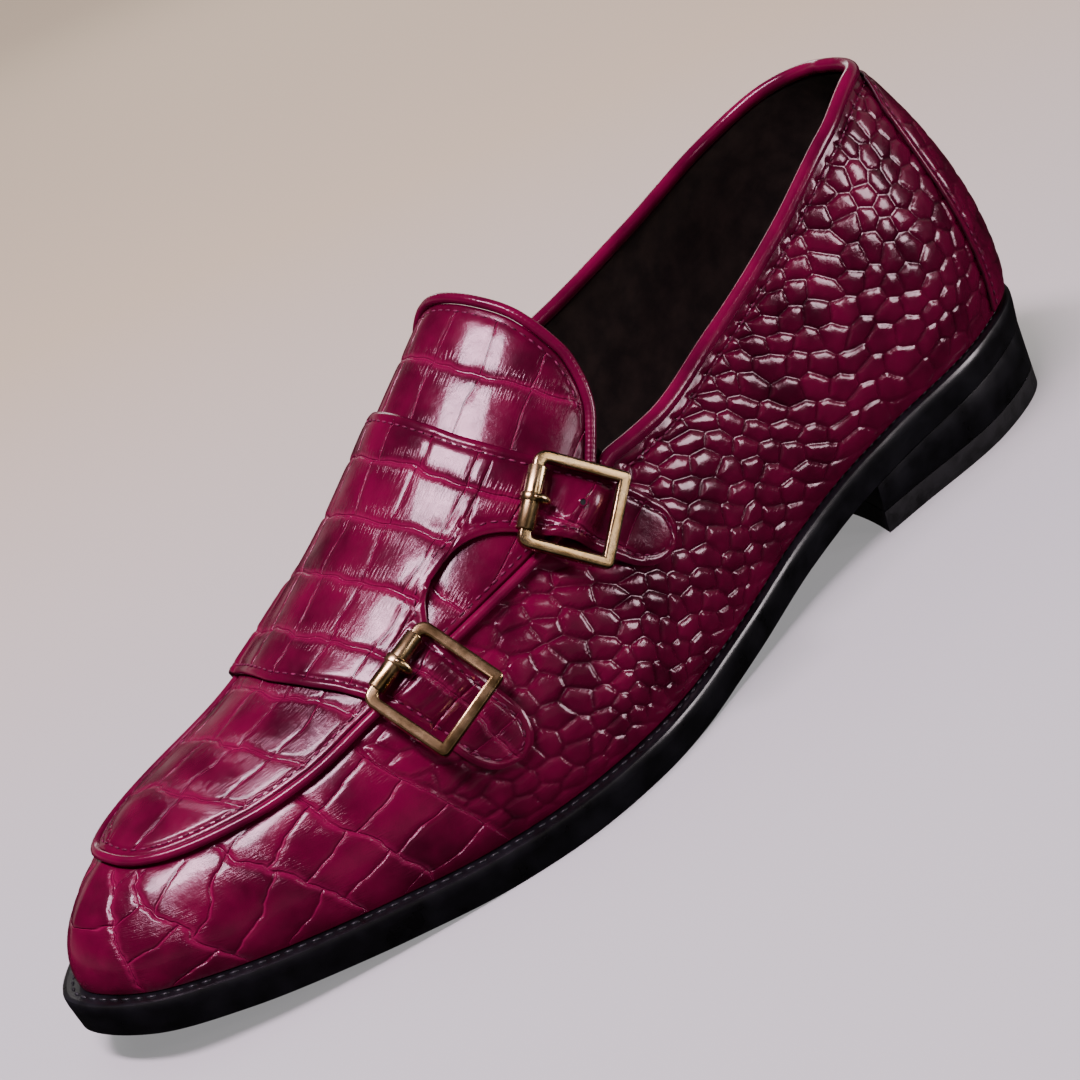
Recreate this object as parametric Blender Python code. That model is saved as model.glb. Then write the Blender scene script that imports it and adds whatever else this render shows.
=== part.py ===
"""A left double monk strap loafer: welted leather sole, stacked heel, hollow upper, two buckled straps.

Frame: +X towards the toe, +Y towards the lateral (outer) side, +Z up, the floor at Z = 0.
Every size below is in millimetres; x runs from the back of the heel (0) to the tip of the toe.
The upper is a surface named by two shares: tau runs along the sole edge from the heel back (0)
to the toe tip (1), and w runs round each section from the medial sole edge (-1) over the ridge
of the instep (0) to the lateral sole edge (+1).
"""

import math

import bmesh
import bpy
import numpy as np
from mathutils import Matrix

# ---------------------------------------------------------------- driving sizes
MM = 0.001
X_MIDDLE = 149.35
Y_MIDDLE = 0.39
GAP = 0.3

SOLE_THICKNESS = 8.3
WELT_THICKNESS = 2.7
SOLE_EDGE_ROUND = 0.9
WELT_WIDTH = 9.2
INSOLE_THICKNESS = 2.8
HEEL_BREAST_X = 78.0
HEEL_BREAST_HOLLOW = 5.0
HEEL_TAPER = 2.6
HEEL_RAKE = 2.8
TOP_LIFT_THICKNESS = 6.0

UPPER_WALL = 2.0
PLUG_THICKNESS = 1.3
SADDLE_THICKNESS = 1.3
BACKSTAY_THICKNESS = 0.9
BACKSTAY_GAP = 0.5
PIPING_RADIUS = 1.1
BINDING_RADIUS = 1.5
TONGUE_BINDING_RADIUS = 1.2

BUCKLE_SIDE = 22.0
BUCKLE_WIRE_RADIUS = 1.6
BUCKLE_CORNER_RADIUS = 2.6
SLEEVE_RADIUS = 2.0
SLEEVE_LENGTH = 12.0
SLEEVE_END = 0.2
PRONG_RADIUS = 0.9

PRONG_TURN = (115.0, -12.0)

APRON_MARGIN = 1.9
INSOLE_INSET = 6.8
BACK_STRIP_THICKNESS = 0.7

# Ends of the pieces, as shares of the surface.
SADDLE_START_W = -0.985
COLLAR_END_TAU = 0.448
PIPING_END_TAU = 0.505
TONGUE_BINDING_END = 0.93
BACK_STRIP_TAU = 0.016
BACKSTAY_SPAN = (0.03, 0.97)
BACK_STRIP_SPAN = (0.05, 0.97)

# Facets: steps of each side between heel and toe, the step at which the throat lies, and how much
# the steps gather where a curve is tight. Pairs are steps along and across a piece.
SIDE_STEPS = 34
THROAT_STEP = 16
GATHER = 0.35
TOE_GATHER = 1.3
STRAP_GATHER = 1.5
PLATE_ROWS = 4
WALL_ROWS = 9
CAP_ROWS = 12
HEEL_GRID = (12, 6)
APRON_GRID = (24, 16)
BAND_GRID = (24, 4)
STRAP_GRID = (12, 4)
BACKSTAY_GRID = (14, 9)
BACK_STRIP_GRID = (2, 10)
TONGUE_BINDING_STEPS = 30
PIPING_STEPS = 26
CORNER_STEPS = 3
PRONG_STEPS = 7

# Measuring steps along the sole edge and up a rib, and the spans used for directions.
EDGE_SPAN_STEPS = 60
EDGE_STEPS = 801
RIB_STEPS = 90
RIB_SPAN = (0.999, 0.02)
STEP = 0.004
RIDGE_BLEND = 0.04
SHARP_ANGLE = math.radians(38)
MERGE = 1e-6

# Edge of the sole, a row at each width: x, lateral y, medial y.
EDGE = np.array([
    (7.0, 18.8, -17.7),
    (32.0, 29.9, -31.1),
    (70.0, 31.4, -29.9),
    (105.0, 33.0, -28.5),
    (140.0, 40.6, -33.8),
    (172.0, 48.2, -42.8),
    (198.0, 48.9, -47.6),
    (222.0, 43.6, -48.4),
    (250.0, 34.8, -45.0),
    (275.0, 24.8, -34.8),
    (292.0, 13.2, -20.2),
])
HEEL_TIP = (0.0, 1.0)
TOE_TIP = (299.6, -5.4)

# Underside of the outsole: x, height above the floor.
UNDERSIDE = np.array([
    (-10.0, 20.2),
    (40.0, 17.4),
    (78.0, 13.7),
    (105.0, 8.4),
    (132.0, 3.2),
    (158.0, 0.3),
    (178.0, 0.0),
    (214.0, 0.0),
    (240.0, 1.9),
    (268.0, 5.1),
    (300.0, 9.8),
])

# How far the sole stands out past the upper: tau, margin.
MARGIN = np.array([
    (0.0, 2.4),
    (0.2, 2.2),
    (0.42, 2.2),
    (0.6, 4.0),
    (1.0, 4.2),
])

# Ridge of the last, over the instep and along the toe: x, y, height.
RIDGE = np.array([
    (70.0, 1.0, 141.5),
    (100.0, 2.8, 128.5),
    (135.0, 0.4, 111.0),
    (165.0, -1.3, 90.4),
    (200.0, -1.0, 65.6),
    (232.0, 1.0, 50.3),
    (266.0, -8.6, 41.6),
])

# Sections, a row at each share of the way from heel to toe:
# tau, height of the lower handle, lateral bulge, medial bulge, length of the upper handle.
SECTIONS = np.array([
    (0.00, 0.35, 8.9, 8.9, 0.24),
    (0.10, 0.41, 7.5, 6.4, 0.52),
    (0.25, 0.45, 6.1, 4.8, 0.71),
    (0.42, 0.48, 5.0, 4.1, 0.80),
    (0.55, 0.46, 4.1, 3.3, 0.70),
    (0.70, 0.46, 3.3, 2.1, 0.59),
    (0.85, 0.50, 2.2, 1.2, 0.57),
    (1.00, 0.57, 1.0, 1.0, 0.59),
])

# Height of the topline on each side, from the heel back to the throat: tau, lateral, medial.
TOPLINE = np.array([
    (0.00, 98.0, 98.0),
    (0.08, 97.8, 94.6),
    (0.16, 91.8, 88.0),
    (0.25, 79.8, 81.9),
    (0.34, 69.2, 76.6),
    (0.42, 62.8, 72.4),
    (0.48, 62.2, 69.6),
])

# Height of the apron seam on each side, from the throat round the toe: tau, lateral, medial.
SEAM = np.array([
    (0.46, 62.4, 70.0),
    (0.52, 57.0, 64.6),
    (0.58, 52.4, 58.4),
    (0.64, 47.8, 52.6),
    (0.70, 43.3, 47.2),
    (0.76, 39.4, 43.2),
    (0.82, 37.5, 40.2),
    (0.88, 37.1, 37.8),
    (0.94, 37.7, 37.5),
    (1.00, 38.7, 38.7),
])

# Free end of the tongue: share of the way from the ridge to the lateral edge (or the medial, -1), tau.
TONGUE_END = np.array([
    (-1.00, 0.495),
    (-0.90, 0.480),
    (-0.80, 0.468),
    (-0.60, 0.456),
    (-0.40, 0.4495),
    (-0.20, 0.4435),
    (0.00, 0.4395),
    (0.20, 0.4365),
    (0.40, 0.4335),
    (0.60, 0.4355),
    (0.70, 0.441),
    (0.79, 0.450),
    (0.85, 0.460),
    (0.91, 0.474),
    (1.00, 0.495),
])

# Edges of the saddle and its straps: w, tau.
SADDLE_REAR = np.array([
    (-1.00, 0.485),
    (-0.50, 0.505),
    (-0.14, 0.510),
    (0.10, 0.512),
    (0.20, 0.511),
    (0.30, 0.506),
    (0.40, 0.497),
    (0.50, 0.485),
    (0.60, 0.470),
    (0.66, 0.461),
    (0.71, 0.455),
    (0.745, 0.457),
    (0.765, 0.468),
])
STRAP_REAR_INNER = np.array([
    (0.315, 0.596),
    (0.318, 0.582),
    (0.332, 0.569),
    (0.370, 0.555),
    (0.430, 0.543),
    (0.500, 0.533),
    (0.600, 0.518),
    (0.680, 0.506),
    (0.730, 0.494),
    (0.755, 0.482),
    (0.765, 0.468),
])
STRAP_FRONT_INNER = np.array([
    (0.315, 0.596),
    (0.322, 0.606),
    (0.345, 0.616),
    (0.380, 0.625),
    (0.430, 0.629),
    (0.500, 0.629),
    (0.600, 0.628),
    (0.680, 0.627),
    (0.740, 0.631),
    (0.775, 0.638),
    (0.790, 0.648),
])
SADDLE_FRONT = np.array([
    (-1.00, 0.675),
    (-0.50, 0.702),
    (-0.15, 0.710),
    (0.00, 0.711),
    (0.16, 0.704),
    (0.28, 0.694),
    (0.40, 0.686),
    (0.50, 0.683),
    (0.60, 0.680),
    (0.69, 0.677),
    (0.74, 0.672),
    (0.77, 0.665),
    (0.79, 0.648),
])
SADDLE_SPLIT = np.array([
    (-1.00, 0.580),
    (0.00, 0.604),
    (0.315, 0.596),
])

# Buckles: node suffix, tau and w of the middle, height above the last, tau and w of the far bar less
# those of the pin bar, degrees the frame is rolled about the strap and pitched across it.
BUCKLES = (
    ("upper", 0.511, 0.518, 5.5, -0.026, 0.190, 3.0, 3.0),
    ("lower", 0.657, 0.483, 6.2, -0.002, 0.232, -3.0, 0.0),
)

# Front edge of the backstay: share of the way from the sole edge to the topline, tau.
BACKSTAY_EDGE = np.array([
    (0.00, 0.102),
    (0.60, 0.098),
    (0.85, 0.088),
    (1.00, 0.060),
])

# What lies under the saddle: millimetres outside the apron seam, height of its underside.
UNDER_SADDLE = np.array([
    (-7.0, 1.9),
    (-3.0, 2.1),
    (-1.4, 3.0),
    (1.4, 3.0),
    (5.0, 1.6),
    (12.0, 0.3),
])


# ---------------------------------------------------------------- curves
def curve(at, knots, values):
    """Monotone cubic curve through (knots, values), evaluated at every entry of at."""
    at = np.clip(np.asarray(at, float), knots[0], knots[-1])
    step = np.diff(knots)
    slope = np.diff(values) / step
    tangent = np.zeros(len(knots))
    same = slope[:-1] * slope[1:] > 0
    inner = 2 * slope[:-1] * slope[1:] / np.where(same, slope[:-1] + slope[1:], 1.0)
    tangent[1:-1] = np.where(same, inner, 0.0)
    tangent[0] = slope[0]
    tangent[-1] = slope[-1]
    cell = np.clip(np.searchsorted(knots, at, side="right") - 1, 0, len(step) - 1)
    t = (at - knots[cell]) / step[cell]
    start = values[cell]
    end = values[cell + 1]
    lead = tangent[cell] * step[cell]
    trail = tangent[cell + 1] * step[cell]
    return (
        start * (1 + 2 * t) * (1 - t) ** 2
        + lead * t * (1 - t) ** 2
        + end * t**2 * (3 - 2 * t)
        - trail * t**2 * (1 - t)
    )


def column(table, number, at):
    return curve(at, table[:, 0], table[:, number])


def stations(share):
    """tau at even shares of the way, gathered at the heel and the toe where the edge bends most."""
    return share - GATHER * np.sin(2 * np.pi * share) / (2 * np.pi)


THROAT_TAU = float(stations(THROAT_STEP / SIDE_STEPS))


def towards_toe(first, share):
    """tau from a first value to the toe, gathered at the toe."""
    return 1 - (1 - first) * (1 - share) ** TOE_GATHER


def closed_spline(points):
    """Centripetal Catmull-Rom loop through the points."""
    count = len(points)
    found = []
    for i in range(count):
        p = [points[(i + k - 1) % count] for k in range(4)]
        t = [0.0]
        for k in range(3):
            t.append(t[-1] + math.sqrt(math.dist(p[k], p[k + 1])))
        for at in np.linspace(t[1], t[2], EDGE_SPAN_STEPS, endpoint=False):
            a = [
                (p[k] * (t[k + 1] - at) + p[k + 1] * (at - t[k])) / (t[k + 1] - t[k])
                for k in range(3)
            ]
            b = [
                (a[k] * (t[k + 2] - at) + a[k + 1] * (at - t[k])) / (t[k + 2] - t[k])
                for k in range(2)
            ]
            found.append((b[0] * (t[2] - at) + b[1] * (at - t[1])) / (t[2] - t[1]))
    return np.array(found)


def edge_sides():
    """Lateral and medial edge of the sole, each as x, y, nx, ny at even steps of tau."""
    lateral = [(x, y) for x, y, _ in EDGE]
    medial = [(x, y) for x, _, y in EDGE[::-1]]
    loop = closed_spline(np.array([HEEL_TIP, *lateral, TOE_TIP, *medial]))
    ahead = np.roll(loop, -1, axis=0) - np.roll(loop, 1, axis=0)
    normal = np.stack([-ahead[:, 1], ahead[:, 0]], 1)
    normal /= np.linalg.norm(normal, axis=1)[:, None]
    rows = np.hstack([loop, normal])
    tip = len(loop) * (len(EDGE) + 1) // (2 * len(EDGE) + 2)
    sides = []
    for run in (rows[: tip + 1], np.vstack([rows[tip:], rows[:1]])[::-1]):
        travelled = np.concatenate([[0.0], np.cumsum(np.hypot(*np.diff(run[:, :2], axis=0).T))])
        even = np.linspace(0.0, travelled[-1], EDGE_STEPS)
        sides.append(np.stack([np.interp(even, travelled, c) for c in run.T], 1))
    return sides


LATERAL, MEDIAL = edge_sides()
STEPS = np.linspace(0.0, 1.0, len(LATERAL))


def edge(tau, lateral, inset):
    """Point of the sole edge at tau, moved inwards, with the outward direction."""
    rows = [np.where(lateral, np.interp(tau, STEPS, a), np.interp(tau, STEPS, b))
            for a, b in zip(LATERAL.T, MEDIAL.T)]
    x, y, nx, ny = rows
    size = np.hypot(nx, ny)
    nx = nx / size
    ny = ny / size
    return x - nx * inset, y - ny * inset, nx, ny


def underside(x):
    return curve(x, UNDERSIDE[:, 0], UNDERSIDE[:, 1])


def feather(x):
    """Top of the welt, where the upper stands."""
    return underside(x) + SOLE_THICKNESS


# ---------------------------------------------------------------- the last
def ridge_station(tau):
    """x of the ridge point that the rib at tau runs up to: ribs gather at the heel and toe."""
    return RIDGE[0, 0] + (RIDGE[-1, 0] - RIDGE[0, 0]) * (0.5 - 0.5 * np.cos(np.pi * tau))


def last(tau, w):
    """Outer surface of the upper at (tau, w), as an array of points."""
    tau, w = np.broadcast_arrays(np.asarray(tau, float), np.asarray(w, float))
    lateral = w >= 0
    v = 1 - np.abs(w)
    x0, y0, nx, ny = edge(tau, lateral, column(MARGIN, 1, tau))
    z0 = feather(x0) + GAP
    ridge_x = ridge_station(tau)
    ridge_y = column(RIDGE, 1, ridge_x)
    ridge_z = column(RIDGE, 2, ridge_x)
    slope = column(RIDGE, 2, ridge_x + 1) - column(RIDGE, 2, ridge_x - 1)
    slope = slope / (np.clip(ridge_x + 1, None, RIDGE[-1, 0]) - np.clip(ridge_x - 1, RIDGE[0, 0], None))
    bulge = np.where(lateral, column(SECTIONS, 2, tau), column(SECTIONS, 3, tau))
    low = (x0 + nx * bulge, y0 + ny * bulge, z0 + column(SECTIONS, 1, tau) * (ridge_z - z0))
    reach = column(SECTIONS, 4, tau)
    # Ribs cross the ridge square to it, and fan out towards the heel and the toe.
    fan = (2 * tau - 1) ** 2
    high_x = ridge_x + fan * reach * (x0 - ridge_x)
    high_y = ridge_y + reach * (y0 - ridge_y)
    high = (high_x, high_y, ridge_z + slope * (high_x - ridge_x))
    share = ((1 - v) ** 3, 3 * v * (1 - v) ** 2, 3 * v**2 * (1 - v), v**3)
    corners = ((x0, y0, z0), low, high, (ridge_x, ridge_y, ridge_z))
    return np.stack([sum(s * c[k] for s, c in zip(share, corners)) for k in range(3)], -1)


def past_tip(tau, w):
    """The last, continued past either tip onto the other side of the shoe."""
    other = (tau < 0) | (tau > 1)
    inside = np.where(tau > 1, 2 - tau, np.abs(tau))
    return last(inside, np.where(other, -w, w))


def side_normal(tau, w):
    """Outward direction, from small steps along and across that stay on one side of the ridge."""
    low = np.where(w > 0, np.maximum(w - STEP, STEP), np.maximum(w - STEP, -1.0))
    high = np.where(w > 0, np.minimum(w + STEP, 1.0), np.minimum(w + STEP, -STEP))
    along = past_tip(tau + STEP, w) - past_tip(tau - STEP, w)
    across = last(tau, high) - last(tau, low)
    normal = np.cross(along, across)
    return normal / np.linalg.norm(normal, axis=-1)[..., None]


def skin(tau, w, height=0.0):
    """Point at a height above the last, along its outward normal."""
    tau, w, height = np.broadcast_arrays(*(np.asarray(a, float) for a in (tau, w, height)))
    lateral = side_normal(tau, np.maximum(w, RIDGE_BLEND))
    medial = side_normal(tau, np.minimum(w, -RIDGE_BLEND))
    share = np.clip(0.5 + 0.5 * w / RIDGE_BLEND, 0.0, 1.0)[..., None]
    normal = lateral * share + medial * (1 - share)
    normal /= np.linalg.norm(normal, axis=-1)[..., None]
    return last(tau, w) + normal * height[..., None]


def reach_height(tau, lateral, height):
    """The |w| at which each rib of one side comes up to a height."""
    tau, height = np.broadcast_arrays(np.asarray(tau, float), np.asarray(height, float))
    sign = 1.0 if lateral else -1.0
    shares = np.linspace(*RIB_SPAN, RIB_STEPS)
    z = last(tau[..., None], sign * shares)[..., 2]
    z = np.maximum.accumulate(z, axis=-1).reshape(-1, len(shares))
    found = [np.interp(h, row, shares) for h, row in zip(height.ravel(), z)]
    return np.array(found).reshape(tau.shape)


def rim(tau, lateral):
    """|w| of the topline behind the throat and of the apron seam in front of it."""
    number = 1 if lateral else 2
    behind = column(TOPLINE, number, tau)
    ahead = column(SEAM, number, tau)
    return reach_height(tau, lateral, np.where(np.asarray(tau) < THROAT_TAU, behind, ahead))


def rim_speed(tau, lateral):
    """Millimetres along a rib for each unit of w, at the rim."""
    top = rim(tau, lateral) * (1.0 if lateral else -1.0)
    return np.linalg.norm(last(tau, top + STEP) - last(tau, top - STEP), axis=-1) / (2 * STEP)


def past_rim(tau, w):
    """Millimetres from the rim down the rib, negative between the rim and the ridge."""
    lateral = (w - rim(tau, True)) * rim_speed(tau, True)
    medial = (-w - rim(tau, False)) * rim_speed(tau, False)
    return np.where(w >= 0, lateral, medial)


# ---------------------------------------------------------------- solids
def finish(name, colour, roughness, metallic=0.0):
    material = bpy.data.materials.new(name)
    material.use_nodes = True
    shader = material.node_tree.nodes["Principled BSDF"]
    shader.inputs["Base Color"].default_value = (*colour, 1.0)
    shader.inputs["Roughness"].default_value = roughness
    shader.inputs["Metallic"].default_value = metallic
    return material


def to_scene(points):
    """Points in the shoe's millimetres as points in metres about the middle of the sole."""
    return (np.asarray(points) - (X_MIDDLE, Y_MIDDLE, 0.0)) * MM


def link(name, data, material):
    data.materials.append(material)
    piece = bpy.data.objects.new(name, data)
    bpy.context.scene.collection.objects.link(piece)
    return piece


def shape(verts, layer, surface):
    """Moves every vertex to the surface at its own two shares."""
    shares = np.array([vert[layer][:2] for vert in verts])
    for vert, point in zip(verts, to_scene(surface(shares[:, 0], shares[:, 1]))):
        vert.co = point


def slab(name, patches, lower, upper, material):
    """Closed solid between two surfaces over patches, each (columns, rows, chart)."""
    bm = bmesh.new()
    layer = bm.verts.layers.float_vector.new("shares")
    for columns, rows, chart in patches:
        grid = bmesh.ops.create_grid(bm, x_segments=columns, y_segments=rows, size=0.5)
        verts = grid["verts"]
        s, t = np.array([vert.co[:2] for vert in verts]).T + 0.5
        for vert, a, b in zip(verts, *chart(s, t)):
            vert[layer] = (a, b, 0.0)
    shape(bm.verts[:], layer, lower)
    bmesh.ops.remove_doubles(bm, verts=bm.verts, dist=MERGE)
    raised = bmesh.ops.extrude_face_region(bm, geom=bm.faces[:], use_keep_orig=True)
    lifted = [item for item in raised["geom"] if isinstance(item, bmesh.types.BMVert)]
    shape(lifted, layer, upper)
    bmesh.ops.recalc_face_normals(bm, faces=bm.faces)
    mesh = bpy.data.meshes.new(name)
    bm.to_mesh(mesh)
    bm.free()
    mesh.shade_smooth()
    mesh.set_sharp_from_angle(angle=SHARP_ANGLE)
    return link(name, mesh, material)


def cord(name, points, radius, material, closed=False):
    """Round cord along points given in metres."""
    data = bpy.data.curves.new(name, "CURVE")
    data.dimensions = "3D"
    data.bevel_depth = radius * MM
    data.bevel_resolution = 1
    data.use_fill_caps = True
    spline = data.splines.new("POLY")
    spline.points.add(len(points) - 1)
    for place, point in zip(spline.points, points):
        place.co = (*point, 1.0)
    spline.use_cyclic_u = closed
    return link(name, data, material)


# ---------------------------------------------------------------- charts
def around(s):
    """tau and side for a way round the sole edge: lateral from heel to toe, then medial back."""
    lateral = s <= 0.5
    return stations(np.where(lateral, 2 * s, 2 - 2 * s)), lateral


def plate_point(tau, across, inset):
    """Plan point between the medial (across 0) and the lateral (across 1) edge at tau."""
    left = edge(tau, np.full(tau.shape, True), inset)
    right = edge(tau, np.full(tau.shape, False), inset)
    return right[0] + (left[0] - right[0]) * across, right[1] + (left[1] - right[1]) * across


def plate(inset, height):
    """Surface over the whole sole whose height above the underside is given."""
    def surface(s, across):
        x, y = plate_point(stations(s), across, inset)
        return np.stack([x, y, underside(x) + height], -1)
    return surface


def ring(insets, heights):
    """Surface round the sole: t picks an inset and a height above the underside."""
    def surface(s, t):
        tau, lateral = around(s)
        at = np.linspace(0.0, 1.0, len(insets))
        x, y, _, _ = edge(tau, lateral, np.interp(t, at, insets))
        return np.stack([x, y, underside(x) + np.interp(t, at, heights)], -1)
    return surface


# ---------------------------------------------------------------- sole
def same(s, t):
    return s, t


def make_outsole(material):
    top = SOLE_THICKNESS - WELT_THICKNESS - GAP
    return slab("outsole", [(SIDE_STEPS, PLATE_ROWS, same)], plate(SOLE_EDGE_ROUND, 0.0), plate(0.0, top), material)


def make_welt(material):
    insets = (0.0, WELT_WIDTH)
    low = SOLE_THICKNESS - WELT_THICKNESS
    return slab(
        "welt",
        [(2 * SIDE_STEPS, 1, same)],
        ring(insets, (low, low)),
        ring(insets, (SOLE_THICKNESS, SOLE_THICKNESS)),
        material,
    )


def make_insole(material):
    """Foot bed inside the wall of the upper, carried all round on the welt."""
    low = SOLE_THICKNESS + GAP
    inset = INSOLE_INSET
    return slab(
        "insole",
        [(SIDE_STEPS, PLATE_ROWS, same)],
        plate(inset, low),
        plate(inset, low + INSOLE_THICKNESS),
        material,
    )


def heel_surface(level):
    """Surface of the heel: level 0 is the floor, and it may follow the underside of the sole."""
    last_tau = np.interp(HEEL_BREAST_X, LATERAL[:, 0], STEPS)

    def surface(s, across):
        tau = s * last_tau
        x, y = plate_point(tau, across, 0.0)
        z = level(x)
        share = z / underside(x)
        x, y = plate_point(tau, across, HEEL_TAPER + (SOLE_EDGE_ROUND - HEEL_TAPER) * share)
        hollow = HEEL_BREAST_HOLLOW * s**4 * (1 - (2 * across - 1) ** 2)
        rake = HEEL_RAKE * (1 - share) * (1 - s)
        return np.stack([x - hollow - rake, y, level(x - hollow)], -1)
    return surface


def make_heel(stack_material, lift_material):
    def floor(x):
        return np.zeros_like(x)

    def lift_top(x):
        return np.full_like(x, TOP_LIFT_THICKNESS)

    def stack_low(x):
        return np.full_like(x, TOP_LIFT_THICKNESS + GAP)

    def seat(x):
        return underside(x) - GAP

    patches = [(*HEEL_GRID, same)]
    slab("top_lift", patches, heel_surface(floor), heel_surface(lift_top), lift_material)
    slab("heel_stack", patches, heel_surface(stack_low), heel_surface(seat), stack_material)


# ---------------------------------------------------------------- upper
def wall_chart(s, t):
    """Wall of the upper: s runs round the sole edge, t from the edge up to the rim."""
    tau, lateral = around(s)
    top = np.where(lateral, rim(tau, True), rim(tau, False))
    w = 1 - (1 - top) * t
    return tau, np.where(lateral, w, -w)


def cap_chart(s, t):
    """Top of the upper in front of the throat, from the medial rim over the ridge to the lateral."""
    tau = stations((THROAT_STEP + (SIDE_STEPS - THROAT_STEP) * s) / SIDE_STEPS)
    low = -rim(tau, False)
    high = rim(tau, True)
    return tau, np.where(t < 0.5, low * (1 - 2 * t), high * (2 * t - 1))


def upper_outside(tau, w):
    return skin(tau, w)


def upper_inside(tau, w):
    points = skin(tau, w, -UPPER_WALL)
    points[..., 2] = np.maximum(points[..., 2], feather(points[..., 0]) + GAP)
    return points


def make_upper(material):
    patches = [
        (2 * SIDE_STEPS, WALL_ROWS, wall_chart),
        (SIDE_STEPS - THROAT_STEP, CAP_ROWS, cap_chart),
    ]
    return slab("upper", patches, upper_inside, upper_outside, material)


def apron_edge(tau, across):
    """w at a share of the way from the ridge (0) to the edge of the apron, +1 lateral, -1 medial."""
    left = rim(tau, True) - APRON_MARGIN / rim_speed(tau, True)
    right = rim(tau, False) - APRON_MARGIN / rim_speed(tau, False)
    return across * np.where(across >= 0, left, right)


def apron_chart(s, t):
    """Apron and tongue: s runs from the end of the tongue to the toe, t across between the seams."""
    across = 2 * t - 1
    tau = towards_toe(column(TONGUE_END, 1, across), s)
    return tau, apron_edge(tau, across)


def make_apron(material):
    def under(tau, w):
        return skin(tau, w, GAP)

    def outer(tau, w):
        return skin(tau, w, GAP + PLUG_THICKNESS)

    return slab("apron_tongue", [(*APRON_GRID, apron_chart)], under, outer, material)


def lift(tau, w):
    """Height above the last of what the saddle and its straps lie on."""
    return column(UNDER_SADDLE, 1, past_rim(tau, w))


def saddle_patches():
    """The band over the instep as two strips that part at the cut into the two straps."""
    def strip(first, last_w, near, far, power):
        def chart(s, t):
            w = first + (last_w - first) * s**power
            a = column(near, 1, w)
            b = column(far, 1, w)
            return a + (b - a) * t, w
        return chart

    start = SADDLE_START_W
    cut = STRAP_REAR_INNER[0, 0]
    rear_band = strip(start, cut, SADDLE_REAR, SADDLE_SPLIT, 1)
    front_band = strip(start, cut, SADDLE_SPLIT, SADDLE_FRONT, 1)
    rear_strap = strip(cut, STRAP_REAR_INNER[-1, 0], SADDLE_REAR, STRAP_REAR_INNER, STRAP_GATHER)
    front_strap = strip(cut, STRAP_FRONT_INNER[-1, 0], STRAP_FRONT_INNER, SADDLE_FRONT, STRAP_GATHER)
    return [
        (*BAND_GRID, rear_band),
        (*BAND_GRID, front_band),
        (*STRAP_GRID, rear_strap),
        (*STRAP_GRID, front_strap),
    ]


def make_saddle(material):
    def under(tau, w):
        return skin(tau, w, lift(tau, w))

    def outer(tau, w):
        return skin(tau, w, lift(tau, w) + SADDLE_THICKNESS)

    return slab("saddle", saddle_patches(), under, outer, material)


def heel_chart(edge_tau, low, high):
    """Patch over the back of the heel: s runs from the medial to the lateral edge, t upwards."""
    def chart(s, t):
        across = 2 * s - 1
        up = low + (high - low) * t
        tau = np.abs(across) * edge_tau(up)
        lateral = across >= 0
        top = np.where(lateral, rim(tau, True), rim(tau, False))
        w = 1 - (1 - top) * up
        return tau, np.where(lateral, w, -w)
    return chart


def make_backstay(material):
    def edge_tau(up):
        return column(BACKSTAY_EDGE, 1, up)

    def under(tau, w):
        return skin(tau, w, BACKSTAY_GAP)

    def outer(tau, w):
        return skin(tau, w, BACKSTAY_GAP + BACKSTAY_THICKNESS)

    return slab("backstay", [(*BACKSTAY_GRID, heel_chart(edge_tau, *BACKSTAY_SPAN))], under, outer, material)


def make_back_strip(material):
    low = BACKSTAY_GAP + BACKSTAY_THICKNESS + GAP

    def edge_tau(up):
        return np.full_like(up, BACK_STRIP_TAU)

    def under(tau, w):
        return skin(tau, w, low)

    def outer(tau, w):
        return skin(tau, w, low + BACK_STRIP_THICKNESS)

    return slab("back_strip", [(*BACK_STRIP_GRID, heel_chart(edge_tau, *BACK_STRIP_SPAN))], under, outer, material)


# ---------------------------------------------------------------- cords along edges
def both_sides(run):
    """tau and side along the lateral side to a tip and back along the medial side."""
    tau = np.concatenate([run, run[-2::-1]])
    lateral = np.arange(len(tau)) < len(run)
    return tau, lateral


def rim_points(tau, lateral, height):
    top = np.where(lateral, rim(tau, True), -rim(tau, False))
    return skin(tau, top, height)


def make_collar_binding(material):
    rows = np.arange(THROAT_STEP - 1, -1, -1)
    tau, lateral = both_sides(np.append(COLLAR_END_TAU, stations(rows / SIDE_STEPS)))
    points = rim_points(tau, lateral, -UPPER_WALL / 2)
    points[:, 2] += BINDING_RADIUS + GAP
    return cord("collar_binding", to_scene(points), BINDING_RADIUS, material)


def make_apron_piping(material):
    tau, lateral = both_sides(towards_toe(PIPING_END_TAU, np.linspace(0.0, 1.0, PIPING_STEPS)))
    points = rim_points(tau, lateral, PIPING_RADIUS + GAP)
    return cord("apron_piping", to_scene(points), PIPING_RADIUS, material)


def make_tongue_binding(material):
    """Rolled edge that lies against the free end of the tongue."""
    across = np.linspace(-TONGUE_BINDING_END, TONGUE_BINDING_END, TONGUE_BINDING_STEPS)
    tau = column(TONGUE_END, 1, across)
    w = apron_edge(tau, across)
    points = skin(tau, w, GAP + TONGUE_BINDING_RADIUS)
    outwards = points - skin(tau, w)
    off = np.cross(outwards, np.gradient(points, axis=0))
    off *= (TONGUE_BINDING_RADIUS + GAP) / np.linalg.norm(off, axis=1)[:, None]
    return cord("tongue_binding", to_scene(points + off), TONGUE_BINDING_RADIUS, material)


# ---------------------------------------------------------------- buckles
def turned(vector, axis, degrees):
    angle = math.radians(degrees)
    return vector * math.cos(angle) + np.cross(axis, vector) * math.sin(angle)


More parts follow.
